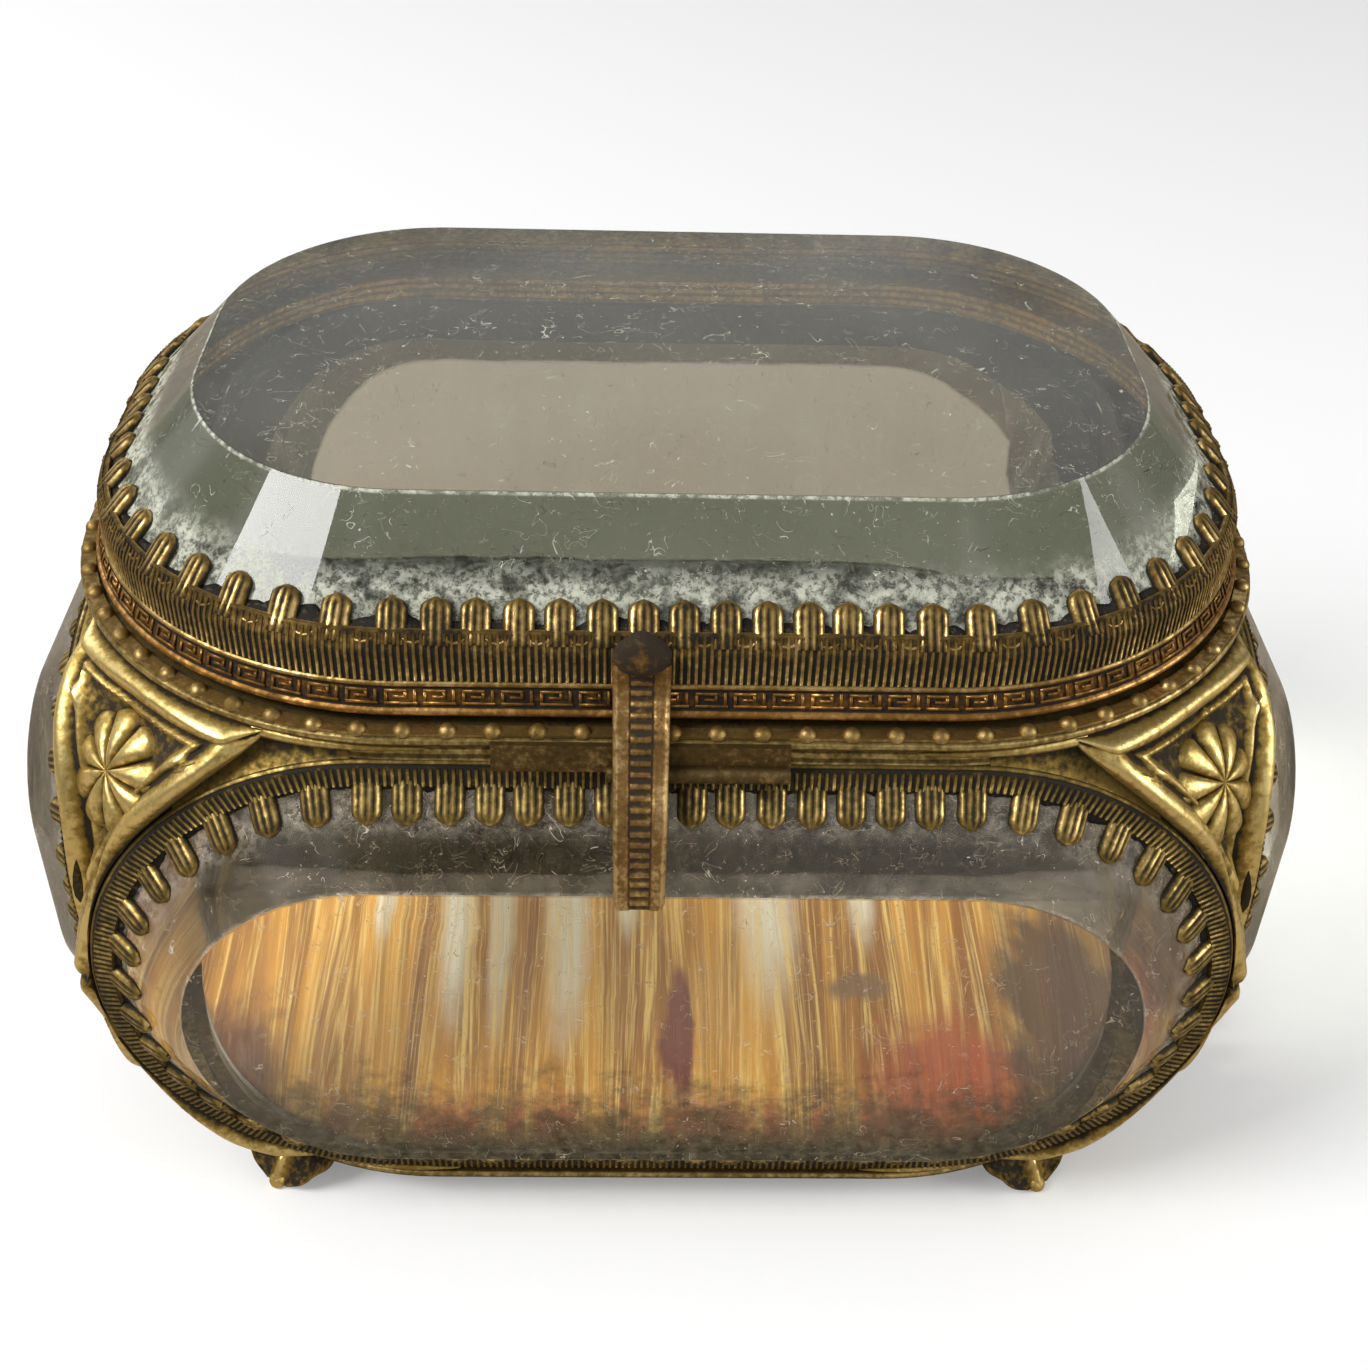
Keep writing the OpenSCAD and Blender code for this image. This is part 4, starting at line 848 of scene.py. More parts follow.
# A rosette: petals that puff up between sharp creases, round a pointed middle
def rosettePart(centre, out):
    petals, radius, per = corner["petals"], corner["rosetteR"], 10
    count, rings = petals * per, 13
    side = np.cross(out, [0, 0, 1.0])
    side = side / np.linalg.norm(side)
    up = np.cross(side, out)
    verts, dirtAndShade = [centre + out * 1.75], [0.3]
    for ring in range(1, rings + 1):
        rho = ring / rings
        for k in range(count):
            f = abs((k % per) / per * 2 - 1)
            crease = max(0, 1 - (1 - f) / 0.22)
            puff = 1 - f ** 2.2
            edge = radius * (1 - 0.13 * f ** 3)
            height = 1.75 - 1.15 * rho ** 1.6 + 0.42 * puff * math.sin(math.pi * min(1, rho * 0.95)) \
                - 0.42 * crease * math.sin(math.pi * min(1, rho * 0.9 + 0.08))
            if rho > 0.93:
                height -= 0.45 + 1.1 * (rho > 0.99)
            turn = 2 * math.pi * k / count
            verts.append(centre + side * edge * rho * math.cos(turn) + up * edge * rho * math.sin(turn) + out * height)
            # Puffed petals are marked bright, the creases and the rim dark: painted highlight on the puffs, painted
            # shade and dirt in the creases
            dirtAndShade.append(0.4 + 0.62 * crease - 0.34 * puff * math.sin(math.pi * rho) + 0.5 * (rho > 0.93))
    faces = [(0, 1 + k, 1 + (k + 1) % count) for k in range(count)]
    for ring in range(rings - 1):
        for k in range(count):
            a, b = 1 + ring * count + k, 1 + ring * count + (k + 1) % count
            faces.append((a, a + count, b + count, b))
    faces.append(tuple(1 + (rings - 1) * count + k for k in range(count - 1, -1, -1)))
    return np.array(verts), faces, np.array(dirtAndShade)


# Past its two tips a stamping runs on along the rim: a coved web down to the frame, under a roll that fades out
runOut = {"steps": 18, "rows": 6, "under": 0.28, "stop": 3.0, "cove": 0.3, "sheet": 0.4, "overlap": 0.3,
          "roll": 0.55, "rollLength": 14.0, "rollReach": 2.0, "rollDown": 0.45,
          "web": {"upper": {"reach": 1.45, "top": 0.8}, "lower": {"reach": 2.2, "top": -0.02}}}


def rimPoint(p, onFront, reach, z):
    a0, b0 = casket["bandA"] - casket["bandR"], casket["bandB"] - casket["bandR"]
    radius = casket["bandR"] + reach
    if onFront:
        return np.array([p[0], -b0 - math.sqrt(radius ** 2 - max(0, p[0] - a0) ** 2), z])
    return np.array([a0 + math.sqrt(radius ** 2 - max(0, -p[1] - b0) ** 2), p[1], z])


def outward(part):
    verts, faces, dirtAndShade = part
    volume = sum(verts[f[0]] @ np.cross(verts[f[k]], verts[f[k + 1]]) for f in faces for k in range(1, len(f) - 1))
    return part if volume > 0 else (verts, [f[::-1] for f in faces], dirtAndShade)


def webPart(edge, onFront, first, last, web):
    steps, rows = runOut["steps"], runOut["rows"]
    inward = np.array([0, 1.0, 0]) if onFront else np.array([-1.0, 0, 0])
    front, dirtAndShade = [], []
    for t in np.linspace(first, last, steps):
        low = edge(t) - np.array([0, 0, runOut["overlap"]]) - inward * 0.06
        top = rimPoint(low, onFront, web["reach"], halfH + web["top"])
        for v in np.linspace(0, 1, rows):
            front.append(low * (1 - v) + top * v + inward * runOut["cove"] * math.sin(math.pi * v))
            # The web is marked darker towards the rim above it: painted shade under the rim, with dirt
            dirtAndShade.append(0.45 + 0.4 * v)
    back = np.array(front) + inward * runOut["sheet"]
    total = steps * rows
    faces = gridFaces(steps, rows) + gridFaces(steps, rows, total, flip=True)
    ring = [j for j in range(rows)] + [i * rows + rows - 1 for i in range(1, steps)] \
        + [(steps - 1) * rows + j for j in range(rows - 2, -1, -1)] + [i * rows for i in range(steps - 2, 0, -1)]
    for k in range(len(ring)):
        m = (k + 1) % len(ring)
        faces.append((ring[k], ring[m], ring[m] + total, ring[k] + total))
    return outward((np.concatenate([front, back]), faces, np.array(dirtAndShade + [0.9] * total)))


def fadingRoll(tip, onFront, lift):
    a0, b0 = casket["bandA"] - casket["bandR"], casket["bandB"] - casket["bandR"]
    steps, around = runOut["steps"], 8
    towards = np.array([-1.0, 0, 0]) if onFront else np.array([0, 1.0, 0])
    verts, dirtAndShade = [], []
    for w in np.linspace(0, 1, steps):
        p = rimPoint(tip + towards * (runOut["rollLength"] * w - 0.8), onFront, runOut["rollReach"],
                     halfH + lift - runOut["rollDown"])
        out = np.array([max(0, p[0] - a0), min(0, p[1] + b0), 0])
        out = out / np.linalg.norm(out)
        radius = runOut["roll"] * (1 - w) ** 0.6 + 0.05
        for k in range(around):
            a = 2 * math.pi * k / around
            verts.append(p + radius * (math.cos(a) * out + np.array([0, 0, math.sin(a)])))
            # The roll's outer side is marked brighter than its inner side, and it darkens as it thins: a painted
            # highlight on the outer side
            dirtAndShade.append(0.2 + 0.35 * w - 0.15 * math.cos(a))
    faces = gridFaces(steps, around, 0, False, True)
    faces += [tuple(range(around - 1, -1, -1)), tuple((steps - 1) * around + k for k in range(around))]
    return outward((np.array(verts), faces, np.array(dirtAndShade)))


def runOutParts(level, lift):
    web, stop = runOut["web"][level], math.radians(runOut["stop"])
    frontLast = (stop - frontStart) / (math.pi / 2 - frontStart)
    endLast = (endStraight + endArc * (math.pi / 2 - stop)) / (endStraight + endArc * (math.pi / 2 - endStart))
    return [webPart(frontEdge, True, runOut["under"], frontLast, web),
            webPart(endEdge, False, 1 - runOut["under"], endLast, web),
            fadingRoll(cornerHigh(0, lift), True, lift), fadingRoll(cornerHigh(corner["span"], lift), False, lift)]


for level, lift in (("upper", corner["lift"]), ("lower", 0.0)):
    patch, centre, out = cornerPatch(lift)
    whole = merged([patch, rosettePart(centre, out)] + runOutParts(level, lift))
    for depthName, my in (("front", 1), ("rear", -1)):
        for sideName, mx in (("left", -1), ("right", 1)):
            place = inFrame @ Matrix.Diagonal((mx, my, 1, 1)) @ Matrix.Translation((0, 0, casket["panelZ"])) \
                @ Matrix.Diagonal((1, 1, 1 if level == "upper" else -1, 1))
            name = f"{depthName}_{sideName}_{level}"
            piece = makePiece("stamped_corner_" + name, moved(whole, place), gilt["giltCorner"], 55)
            ridesOn(piece, "casket_body", "gilt", f"corner_{depthName}_{sideName}_{level}")
print("corner pieces are dressed")

# ---- clasp tongue ----
tongue = {"width": 4.2, "widthTop": 4.7, "border": 0.3, "ladderHalf": 0.4, "rungPitch": 0.95, "thick": 0.55,
          "line": [(0.62, 68.0), (0.62, 65.6), (1.7, 63.9), (3.3, 62.6), (4.2, 60.8), (4.9, 59.6), (6.85, 56.8),
                   (7.65, 53.9), (8.15, 50.4), (8.25, 48.7)]}


def smoothLine(points, steps):
    points = np.array(points, float)
    last, made = len(points) - 1, []
    for i in range(last):
        p0, p1, p2, p3 = points[max(i - 1, 0)], points[i], points[i + 1], points[min(i + 2, last)]
        for k in range(steps + (i == last - 1)):
            t = k / steps
            made.append(0.5 * (2 * p1 + (p2 - p0) * t + (2 * p0 - 5 * p1 + 4 * p2 - p3) * t * t
                               + (3 * p1 - p0 - 3 * p2 + p3) * t ** 3))
    return np.array(made)


def tonguePart():
    line = smoothLine(tongue["line"], 40)
    away = np.concatenate([[0], np.cumsum(np.linalg.norm(np.diff(line, axis=0), axis=1))])
    total, count = away[-1], 230
    ways = np.linspace(0, total, count)
    line = np.stack([np.interp(ways, away, line[:, 0]), np.interp(ways, away, line[:, 1])], 1)
    across = np.array([-1, -0.96, -0.86, -0.78, -0.55, -0.46, -0.4, -0.34, -0.15, 0, 0.15, 0.34, 0.4, 0.46, 0.55, 0.78,
                       0.86, 0.96, 1])
    front, back, dirtAndShade = [], [], []
    for k in range(count):
        d = line[min(k + 1, count - 1)] - line[max(k - 1, 0)]
        d = d / np.linalg.norm(d)
        off = np.array([-d[1], d[0]])
        off = off if off[0] > 0 else -off
        s = ways[k]
        half = (tongue["widthTop"] + (tongue["width"] - tongue["widthTop"]) * s / total) / 2
        if total - s < 0.5:
            half *= 0.9 + 0.1 * (total - s) / 0.5
        rung = 0.5 + 0.5 * math.cos(2 * math.pi * s / tongue["rungPitch"])
        rung = min(1, max(0, rung * 2.2 - 0.6))
        for u in across:
            # Rungs and the raised border are marked bright and the gaps between rungs dark: painted highlight on the
            # raised parts, painted shade and dirt in the gaps
            f = abs(u)
            if f < 0.37:
                height, g = 0.06 + 0.17 * rung, 0.78 - 0.45 * rung
            elif f < 0.5:
                height, g = 0.12 if f < 0.43 else 0.24, 0.8 if f < 0.43 else 0.35
            elif f < 0.82:
                height, g = 0.27, 0.3
            else:
                height, g = 0.33 - 0.35 * max(0, f - 0.9) / 0.1, 0.08
            p = line[k] + off * (tongue["thick"] / 2 - 0.1 + height * 0.9)
            q = line[k] - off * tongue["thick"] / 2
            front.append((u * half, -casket["bandB"] - p[0], p[1]))
            back.append((u * half, -casket["bandB"] - q[0], q[1]))
            dirtAndShade.append(g)
    rows = len(across)
    total = count * rows
    faces = gridFaces(count, rows, 0) + gridFaces(count, rows, total, flip=True)
    ring = [j for j in range(rows)] + [i * rows + rows - 1 for i in range(1, count)] \
        + [(count - 1) * rows + j for j in range(rows - 2, -1, -1)] + [i * rows for i in range(count - 2, 0, -1)]
    for k in range(len(ring)):
        m = (k + 1) % len(ring)
        faces.append((ring[k], ring[m], ring[m] + total, ring[k] + total))
    return np.array(front + back), faces, np.array(dirtAndShade + [0.6] * total)


# The tongue's head: a small domed shield soldered over the band between two prongs
def tongueHead():
    count, rings = 48, 9
    low, high, middle = 66.8, 70.9, 68.7
    verts, dirtAndShade = [], []
    for ring in range(rings + 1):
        share = math.sin(math.pi / 2 * ring / rings) if ring else 0.02
        for k in range(count):
            turn = 2 * math.pi * k / count
            x, z = math.sin(turn), math.cos(turn)
            reach = high - middle if z > 0 else middle - low
            half = 2.35 * (1 - 0.42 * max(0, z) ** 1.5)
            bulge = 1.05 * math.sqrt(max(0, 1 - share ** 2.6)) + 0.35 * (ring < rings)
            ridge = 0.22 * math.exp(-(x * half * share / 0.4) ** 2) * (z > 0) * (1 - share)
            verts.append((x * half * share, -casket["bandB"] - 0.25 - bulge - ridge, middle + z * reach * share))
            # The shield's edge is marked dark and its dome and ridge brighter: painted shade round the edge, painted
            # highlight on the dome
            dirtAndShade.append(0.98 if ring == rings else 0.74 - 0.3 * max(0, 1 - share * 1.5) - ridge)
    faces = gridFaces(rings + 1, count, 0, False, True)
    faces += [tuple(range(count)), tuple(rings * count + k for k in range(count - 1, -1, -1))]
    return np.array(verts), faces, np.array(dirtAndShade)


claspPlace = Matrix.Translation((casket["claspX"], casket["shiftY"], 0))
tonguePiece = makePiece("tongue_strap", moved(merged([tonguePart(), tongueHead()]), claspPlace), gilt["giltTongue"], 50)
ridesOn(tonguePiece, "lid", "gilt", "clasp_tongue")
print("clasp is dressed")

# ---- feet ----
foot = {"height": 4.6, "width": 10.0, "where": 60.0, "sheet": 0.6, "rows": 30, "columns": 31}


def footPart():
    h = foot["height"]
    line = smoothLine([(-3.2, h - 0.5), (0.9, h - 0.5), (2.7, h * 0.7), (3.7, h * 0.42), (4.6, 0.55)], 12)
    ways = np.linspace(0, len(line) - 1, foot["rows"])
    line = np.stack([np.interp(ways, np.arange(len(line)), line[:, k]) for k in (0, 1)], 1)
    front, back, dirtAndShade = [], [], []
    for k in range(foot["rows"]):
        d = line[min(k + 1, len(line) - 1)] - line[max(k - 1, 0)]
        d = d / np.linalg.norm(d)
        off = np.array([-d[1], d[0]])
        off = off if off[0] > 0 or off[1] > 0.5 else -off
        t = min(1, max(0, (h - 0.3 - line[k][1]) / (h - 0.8)))
        half = foot["width"] / 2 * (1 - 0.78 * t ** 2.2) * (1 + 0.06 * math.sin(3 * math.pi * t))
        for u in np.linspace(-1, 1, foot["columns"]):
            ridge = math.exp(-(u * half / 0.75) ** 2) * min(1, t * 2.2)
            curl = max(0, (abs(u) - 0.72) / 0.28) ** 1.6 * min(1, t * 3) * (1 - t)
            hollow = 0.55 * math.sin(math.pi * min(1, abs(u))) * min(1, t * 2.5) * (1 - t * 0.7)
            height = 0.75 * ridge + 0.8 * curl - hollow
            p = line[k] + off * height
            q = line[k] + off * (height * 0.8 - foot["sheet"])
            front.append((p[0], u * half, max(0.0, p[1])))
            back.append((q[0], u * half * 0.97, max(0.0, q[1])))
            # The ridge and curled edges are marked bright and the hollows darker: painted highlight on the raised
            # parts, painted shade in the hollows
            dirtAndShade.append(0.78 - 0.85 * ridge - 0.5 * curl + 0.1 * hollow)
    rows = foot["columns"]
    count, total = foot["rows"], foot["rows"] * foot["columns"]
    faces = gridFaces(count, rows, 0, flip=True) + gridFaces(count, rows, total)
    ring = [j for j in range(rows)] + [i * rows + rows - 1 for i in range(1, count)] \
        + [(count - 1) * rows + j for j in range(rows - 2, -1, -1)] + [i * rows for i in range(count - 2, 0, -1)]
    for k in range(len(ring)):
        m = (k + 1) % len(ring)
        faces.append((ring[k], ring[k] + total, ring[m] + total, ring[m]))
    shell = (np.array(front + back), faces, np.array(dirtAndShade + [0.9] * total))
    verts, faces, count, rings = [], [], 20, 9
    for r in range(rings):
        lat = math.pi * r / (rings - 1) - math.pi / 2
        for k in range(count):
            turn = 2 * math.pi * k / count
            z = 0.72 + 0.95 * math.sin(lat)
            verts.append((4.35 + 0.95 * max(0.02, math.cos(lat)) * math.cos(turn) - 0.35 * max(0, z - 0.7),
                          0.9 * max(0.02, math.cos(lat)) * math.sin(turn), max(0.0, z)))
    faces = gridFaces(rings, count, 0, False, True, flip=True)
    faces += [tuple(range(count - 1, -1, -1)), tuple((rings - 1) * count + k for k in range(count))]
    return merged([shell, (np.array(verts), faces, np.full(len(verts), 0.1))])


footMesh = footPart()
arcR = casket["bandR"] - 0.2
turn = math.radians(foot["where"])
for depthName, my in (("front", 1), ("rear", -1)):
    for sideName, mx in (("left", -1), ("right", 1)):
        place = inFrame @ Matrix.Diagonal((mx, my, 1, 1)) @ Matrix.Translation(
            (casket["bandA"] - casket["bandR"] + arcR * math.cos(turn),
             -(casket["bandB"] - casket["bandR"]) - arcR * math.sin(turn), 0)) @ Matrix.Rotation(-turn, 4, "Z")
        piece = makePiece(f"leaf_foot_{depthName}_{sideName}", moved(footMesh, place), gilt["footGilt"], 60)
        ridesOn(piece, "casket_body", "gilt", f"foot_{depthName}_{sideName}")
print("feet are dressed")

# ---- lining ----
pad = {"a": 47.6, "b": 30.6, "r": 25.6, "z": 7.16, "edge": 3.5, "crown": 3.0, "channels": 9, "columns": 230,
       "rows": 120, "seed": 5}


def padReach(x):
    over = np.maximum(0, np.abs(x) - (pad["a"] - pad["r"]))
    return pad["b"] - pad["r"] + np.sqrt(np.maximum(0, pad["r"] ** 2 - over ** 2))


def padHeight(u, v):
    edge = 1 - np.maximum(np.abs(u), np.abs(v)) ** 6
    crown = (1 - u * u) * (1 - v * v)
    puff = np.abs(np.sin(math.pi / 2 * pad["channels"] * (u + 1)))
    return pad["edge"] * (0.35 + 0.65 * edge) + pad["crown"] * crown * (0.45 + 0.55 * puff)


def waves(x, seed, first, last, count):
    draw = np.random.default_rng(seed)
    total = np.zeros_like(x)
    for k in range(count):
        size = first * (last / first) ** (k / max(1, count - 1))
        total += np.sin(2 * math.pi * x / size + draw.random() * 6.283) * draw.uniform(0.5, 1.0) / count
    return total


def padPart(columns, rows, lift, back, relief):
    e = np.linspace(-1, 1, columns)
    u = -0.3 * np.cos(math.pi * (e + 1) / 2) + 0.7 * e
    v = np.linspace(-1, 1, rows)
    U, V = np.meshgrid(u, v, indexing="ij")
    x = U * pad["a"]
    y = V * padReach(x)
    z = padHeight(U, V)
    inside = np.clip((1 - np.maximum(np.abs(U), np.abs(V))) / 0.12, 0, 1)
    high = z + lift + relief(x, y) * inside
    top = np.stack([x, y, pad["z"] + high], 2).reshape(-1, 3)
    under = np.stack([x, y, np.full_like(x, pad["z"] + back) if back is not None else pad["z"] + high - 0.3], 2)
    total = columns * rows
    faces = gridFaces(columns, rows) + gridFaces(columns, rows, total, flip=True)
    ring = [j for j in range(rows)] + [i * rows + rows - 1 for i in range(1, columns)] \
        + [(columns - 1) * rows + j for j in range(rows - 2, -1, -1)] + [i * rows for i in range(columns - 2, 0, -1)]
    for k in range(len(ring)):
        m = (k + 1) % len(ring)
        faces.append((ring[k], ring[m], ring[m] + total, ring[k] + total))
    return moved((np.concatenate([top, under.reshape(-1, 3)]), faces, np.zeros(2 * total)), lidFlat)


def silkRelief(x, y):
    gathers = waves(x + 1.2 * np.sin(y / 14.0), 31, 5.2, 1.3, 7) * 0.75
    return gathers * (0.55 + 0.45 * np.abs(y) / pad["b"]) + waves(y, 33, 30.0, 9.0, 4) * 0.35


silkLook = {
    "deep": (0.33, 0.12, 0.013, 1), "amber": (0.86, 0.42, 0.055, 1), "straw": (0.98, 0.68, 0.22, 1),
    "wad": (1.0, 0.94, 0.78, 1), "tuft": (0.62, 0.15, 0.04, 1), "olive": (0.05, 0.042, 0.018, 1),
    "fan": 1.25,
    "stains": [
        {"at": (29.0, -23.5), "reach": (9.5, 7.5), "color": (0.52, 0.10, 0.03, 1)},
        {"at": (42.5, -15.0), "reach": (9.5, 15.0), "color": (0.07, 0.028, 0.012, 1)},
        {"at": (20.5, -14.5), "reach": (3.6, 1.5), "color": (0.26, 0.15, 0.08, 1)},
        {"at": (-45.0, -22.0), "reach": (8.5, 9.0), "color": (0.16, 0.05, 0.02, 1)},
    ],
    "wads": [
        {"at": (-21.5, -6.0), "reach": (2.1, 14.0)}, {"at": (-17.0, -7.0), "reach": (1.5, 13.0)},
        {"at": (-10.0, -6.0), "reach": (2.7, 16.0)}, {"at": (-3.6, -2.0), "reach": (1.4, 9.0)},
        {"at": (11.2, -3.0), "reach": (3.9, 15.0)}, {"at": (21.5, -1.0), "reach": (1.9, 10.0)},
        {"at": (-29.5, -3.0), "reach": (1.2, 8.0)}, {"at": (4.0, 16.0), "reach": (2.2, 9.0)},
        {"at": (-14.0, 17.0), "reach": (1.8, 10.0)}, {"at": (24.0, 18.0), "reach": (2.0, 8.0)},
    ],
    "slit": {"at": (1.0, -20.0), "reach": (1.5, 8.5), "color": (0.20, 0.03, 0.03, 1)},
}


# Threads draw together over the channels of the pad, the more so towards the front seam
def fanned(tree, vector):
    place = addNode(tree, "ShaderNodeSeparateXYZ", {0: vector})
    pitch = 2 * pad["a"] / pad["channels"] * mm
    phase = calc(tree, "MULTIPLY", calc(tree, "ADD", place.outputs[0], pad["a"] * mm), 2 * math.pi / pitch)
    drawn = ranged(tree, place.outputs[1], -30 * mm, 4 * mm, silkLook["fan"] * mm, 0.2 * mm)
    across = scaledSum(tree, calc(tree, "SINE", phase), drawn, place.outputs[0])
    return place, addNode(tree, "ShaderNodeCombineXYZ", {0: across, 1: place.outputs[1], 2: place.outputs[2]}).outputs[0]


# How far a point is from a patch's middle, where 1 is its edge, made uneven by the cloud
def patchAway(tree, vector, patch, cloud, uneven):
    (x, y), (wide, deep) = patch["at"], patch["reach"]
    offset = stretched(tree, vector, (1 / (wide * mm), 1 / (deep * mm), 0.0), (-x / wide, -y / deep, 0.0))
    away = addNode(tree, "ShaderNodeVectorMath", {0: offset}, operation="LENGTH").outputs["Value"]
    return scaledSum(tree, cloud, -uneven, away)


def silkMaterial():
    material, tree, shader, _ = newMaterial("wornSilk")
    vector = addNode(tree, "ShaderNodeTexCoord").outputs["Object"]
    place, along = fanned(tree, vector)
    depth = place.outputs[1]
    threads = noise(tree, stretched(tree, along, (2100, 40, 200)), 1.0, 4.0, 0.75)
    folds = noise(tree, stretched(tree, along, (330, 16, 40)), 1.0, 3.0, 0.6)
    color = blended(tree, ranged(tree, folds, 0.35, 0.68), silkLook["deep"], silkLook["amber"])
    # The pale straw streaks along the threads are partly the threads' own paler colour and partly a painted sheen
    color = blended(tree, ranged(tree, threads, 0.46, 0.64), color, silkLook["straw"])
    cloud = noise(tree, vector, 160.0, 4.0, 0.6, 0.8)
    covered = ranged(tree, threads, 0.42, 0.66, 1.0, 0.35)
    for wad in silkLook["wads"]:
        shown = ranged(tree, patchAway(tree, vector, wad, cloud, 0.5), 0.15, 0.95, 1.0, 0.0)
        color = blended(tree, calc(tree, "MULTIPLY", shown, covered), color, silkLook["wad"])
    for stain in silkLook["stains"]:
        color = blended(tree, ranged(tree, patchAway(tree, vector, stain, cloud, 1.1), 0.0, 0.6, 0.92, 0.0), color,
                        stain["color"])
    slit = silkLook["slit"]
    color = blended(tree, ranged(tree, patchAway(tree, along, slit, cloud, 0.9), 0.1, 0.5, 0.95, 0.0), color,
                    slit["color"])
    knots = ranged(tree, noise(tree, stretched(tree, vector, (430, 50, 50)), 1.0, 2.0), 0.46, 0.58)
    tufts = calc(tree, "MULTIPLY", knots, ranged(tree, depth, -28.5 * mm, -24 * mm, 0.95, 0.0))
    color = blended(tree, tufts, color, silkLook["tuft"])
    color = blended(tree, ranged(tree, scaledSum(tree, cloud, 3 * mm, depth), -29 * mm, -27 * mm, 0.9, 0.0),
                    color, silkLook["olive"])
    bump = addNode(tree, "ShaderNodeBump", {"Height": calc(tree, "ADD", threads, folds), "Strength": 0.6,
                                            "Distance": 0.0003})
    tree.links.new(color, shader.inputs["Base Color"])
    tree.links.new(ranged(tree, threads, 0.3, 0.8, 0.35, 0.6), shader.inputs["Roughness"])
    tree.links.new(bump.outputs["Normal"], shader.inputs["Normal"])
    shader.inputs["Sheen Weight"].default_value = 0.5
    return material


def waddingMaterial():
    material, tree, shader, _ = newMaterial("mattedWadding")
    vector = addNode(tree, "ShaderNodeTexCoord").outputs["Object"]
    fluff = noise(tree, vector, 700.0, 6.0, 0.75, 0.8)
    color = blended(tree, fluff, (0.55, 0.47, 0.34, 1), (0.93, 0.90, 0.82, 1))
    bump = addNode(tree, "ShaderNodeBump", {"Height": fluff, "Strength": 0.9, "Distance": 0.0006})
    tree.links.new(color, shader.inputs["Base Color"])
    tree.links.new(bump.outputs["Normal"], shader.inputs["Normal"])
    shader.inputs["Roughness"].default_value = 0.95
    return material


def cardMaterial():
    material, tree, shader, _ = newMaterial("lining_pasteboard")
    vector = addNode(tree, "ShaderNodeTexCoord").outputs["Object"]
    fibre = noise(tree, stretched(tree, vector, (900, 260, 900)), 1.0, 5.0, 0.7)
    color = blended(tree, fibre, (0.30, 0.22, 0.12, 1), (0.60, 0.50, 0.34, 1))
    bump = addNode(tree, "ShaderNodeBump", {"Height": fibre, "Strength": 0.4, "Distance": 0.0002})
    tree.links.new(color, shader.inputs["Base Color"])
    tree.links.new(bump.outputs["Normal"], shader.inputs["Normal"])
    shader.inputs["Roughness"].default_value = 0.9
    return material


silk = makePiece("silk_lining", padPart(pad["columns"], pad["rows"], 0.35, None, silkRelief), silkMaterial())
ridesOn(silk, "casket_body", "silk", "silk_cover")
wadding = makePiece("wadding_pad", padPart(96, 60, -0.35, 0.0, lambda x, y: 0.5 * silkRelief(x, y)), waddingMaterial())
ridesOn(wadding, "casket_body", "wadding", "wadding")


flatSilk = {"width": 0.1, "length": 0.066}
print("lining is laid")

# ---- solids that keep their shape ----
finishes = {
    "top_rim": gilt["rimBrass"], "base_rim": gilt["rimBrass"], "bead_border": gilt["beadGilt"],
    "catch_plate": gilt["dullBrass"], "hinge_lid_leaf": gilt["dullBrass"], "hinge_body_leaf": gilt["dullBrass"],
    "hinge_pin": gilt["dullBrass"], "lid_seat_ring": gilt["rimBrass"], "base_plate": gilt["dullBrass"],
    "lining_card": cardMaterial(),
}
for node, material in finishes.items():
    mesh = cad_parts[node].data
    mesh.materials.clear()
    mesh.materials.append(material)
print("solids have their finishes")

# ---- floor, light and camera ----
studio = {"floorSize": 6.0, "floorColor": (0.80, 0.80, 0.80, 1), "floorLift": 0.2, "sky": 0.42,
          "mirrorDark": 0.05, "mirrorBright": 0.85, "through": (0.60, 0.585, 0.50, 1),
          "floorThrough": (0.42, 0.37, 0.31, 1)}


# The floor is pale to the eye, and greyer where it is only seen in brass or through glass
def floorMaterial():
    material, tree, shader, _ = newMaterial("paleFloor")
    path = addNode(tree, "ShaderNodeLightPath")
    indirect = calc(tree, "MAXIMUM", path.outputs["Is Glossy Ray"], path.outputs["Is Transmission Ray"])
    tree.links.new(blended(tree, indirect, studio["floorColor"], studio["floorThrough"]), shader.inputs["Base Color"])
    shader.inputs["Roughness"].default_value = 1.0
    shader.inputs["Specular IOR Level"].default_value = 0.0
    shader.inputs["Emission Color"].default_value = (1, 1, 1, 1)
    tree.links.new(calc(tree, "MULTIPLY", path.outputs["Is Camera Ray"], studio["floorLift"]),
                   shader.inputs["Emission Strength"])
    return material


half = studio["floorSize"] / 2
floorMesh = bpy.data.meshes.new("floor")
floorMesh.from_pydata([(-half, -half, 0), (half, -half, 0), (half, half, 0), (-half, half, 0)], [], [(0, 1, 2, 3)])
floorMesh.materials.append(floorMaterial())
floor = bpy.data.objects.new("floor", floorMesh)
collection.objects.link(floor)

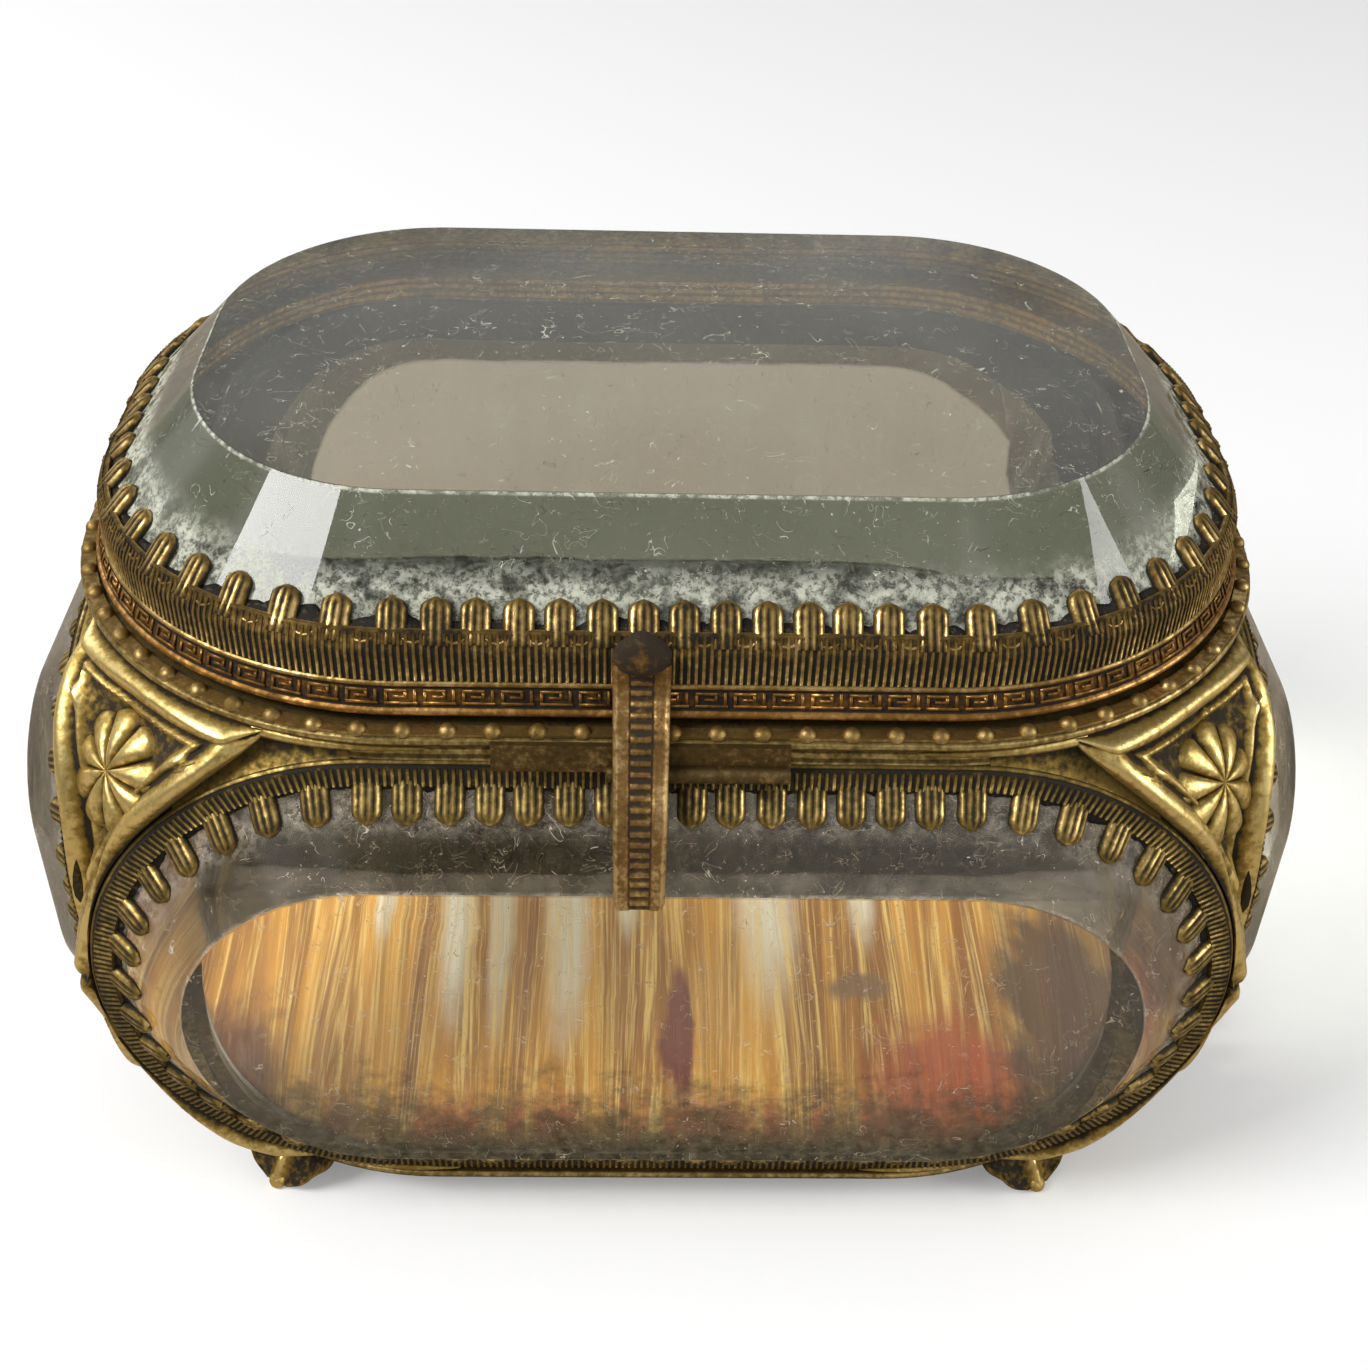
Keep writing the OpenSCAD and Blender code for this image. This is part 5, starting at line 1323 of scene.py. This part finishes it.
world = bpy.data.worlds.new("studio")
scene.world = world
world.use_nodes = True
sky = world.node_tree
path = addNode(sky, "ShaderNodeLightPath")
room = noise(sky, addNode(sky, "ShaderNodeTexCoord").outputs["Generated"], 1.7, 2.0)
mirrored = ranged(sky, room, 0.42, 0.62, studio["mirrorDark"], studio["mirrorBright"])
plain = studio["sky"]
shown = blended(sky, path.outputs["Is Glossy Ray"], (plain, plain, plain, 1), mirrored)
shown = blended(sky, path.outputs["Is Transmission Ray"], shown, studio["through"])
shown = blended(sky, path.outputs["Is Camera Ray"], shown, (1, 1, 1, 1))
background = sky.nodes["Background"]
sky.links.new(shown, background.inputs["Color"])
background.inputs["Strength"].default_value = 1.0

lamps = {
    "keyLamp": {"place": (-0.42, -0.20, 0.50), "size": 0.28, "power": 3.4},
    "sideLamp": {"place": (0.48, -0.16, 0.26), "size": 0.22, "power": 1.0},
    "backLamp": {"place": (-0.50, 0.42, 0.30), "size": 0.25, "power": 0.8},
}
for name, lamp in lamps.items():
    data = bpy.data.lights.new(name, "AREA")
    data.energy, data.size = lamp["power"], lamp["size"]
    light = bpy.data.objects.new(name, data)
    collection.objects.link(light)
    light.location = lamp["place"]
    light.rotation_mode = "QUATERNION"
    light.rotation_quaternion = (Vector((0, 0, 0.03)) - Vector(lamp["place"])).to_track_quat("-Z", "Y")

view = {"azimuth": -1.9, "elevation": 38.34, "roll": 1.87, "distance": 141.3, "target": (0.81, -35.1, 66.64),
        "lens": 47.38}


def placeCamera():
    azimuth, elevation, roll = (math.radians(view[k]) for k in ("azimuth", "elevation", "roll"))
    back = Vector((math.sin(azimuth) * math.cos(elevation), -math.cos(azimuth) * math.cos(elevation),
                   math.sin(elevation)))
    right = Vector((math.cos(azimuth), math.sin(azimuth), 0))
    up = back.cross(right)
    right, up = (right * math.cos(roll) + up * math.sin(roll), up * math.cos(roll) - right * math.sin(roll))
    data = bpy.data.cameras.new("camera")
    data.lens, data.sensor_width = view["lens"], 36.0
    data.clip_start, data.clip_end = 0.01, 20.0
    camera = bpy.data.objects.new("camera", data)
    collection.objects.link(camera)
    place = Matrix((right, up, back)).transposed().to_4x4()
    place.translation = (Vector(view["target"]) + back * view["distance"]) * mm
    camera.matrix_world = place
    scene.camera = camera


placeCamera()
scene.view_settings.view_transform = "Standard"
print("studio is set")
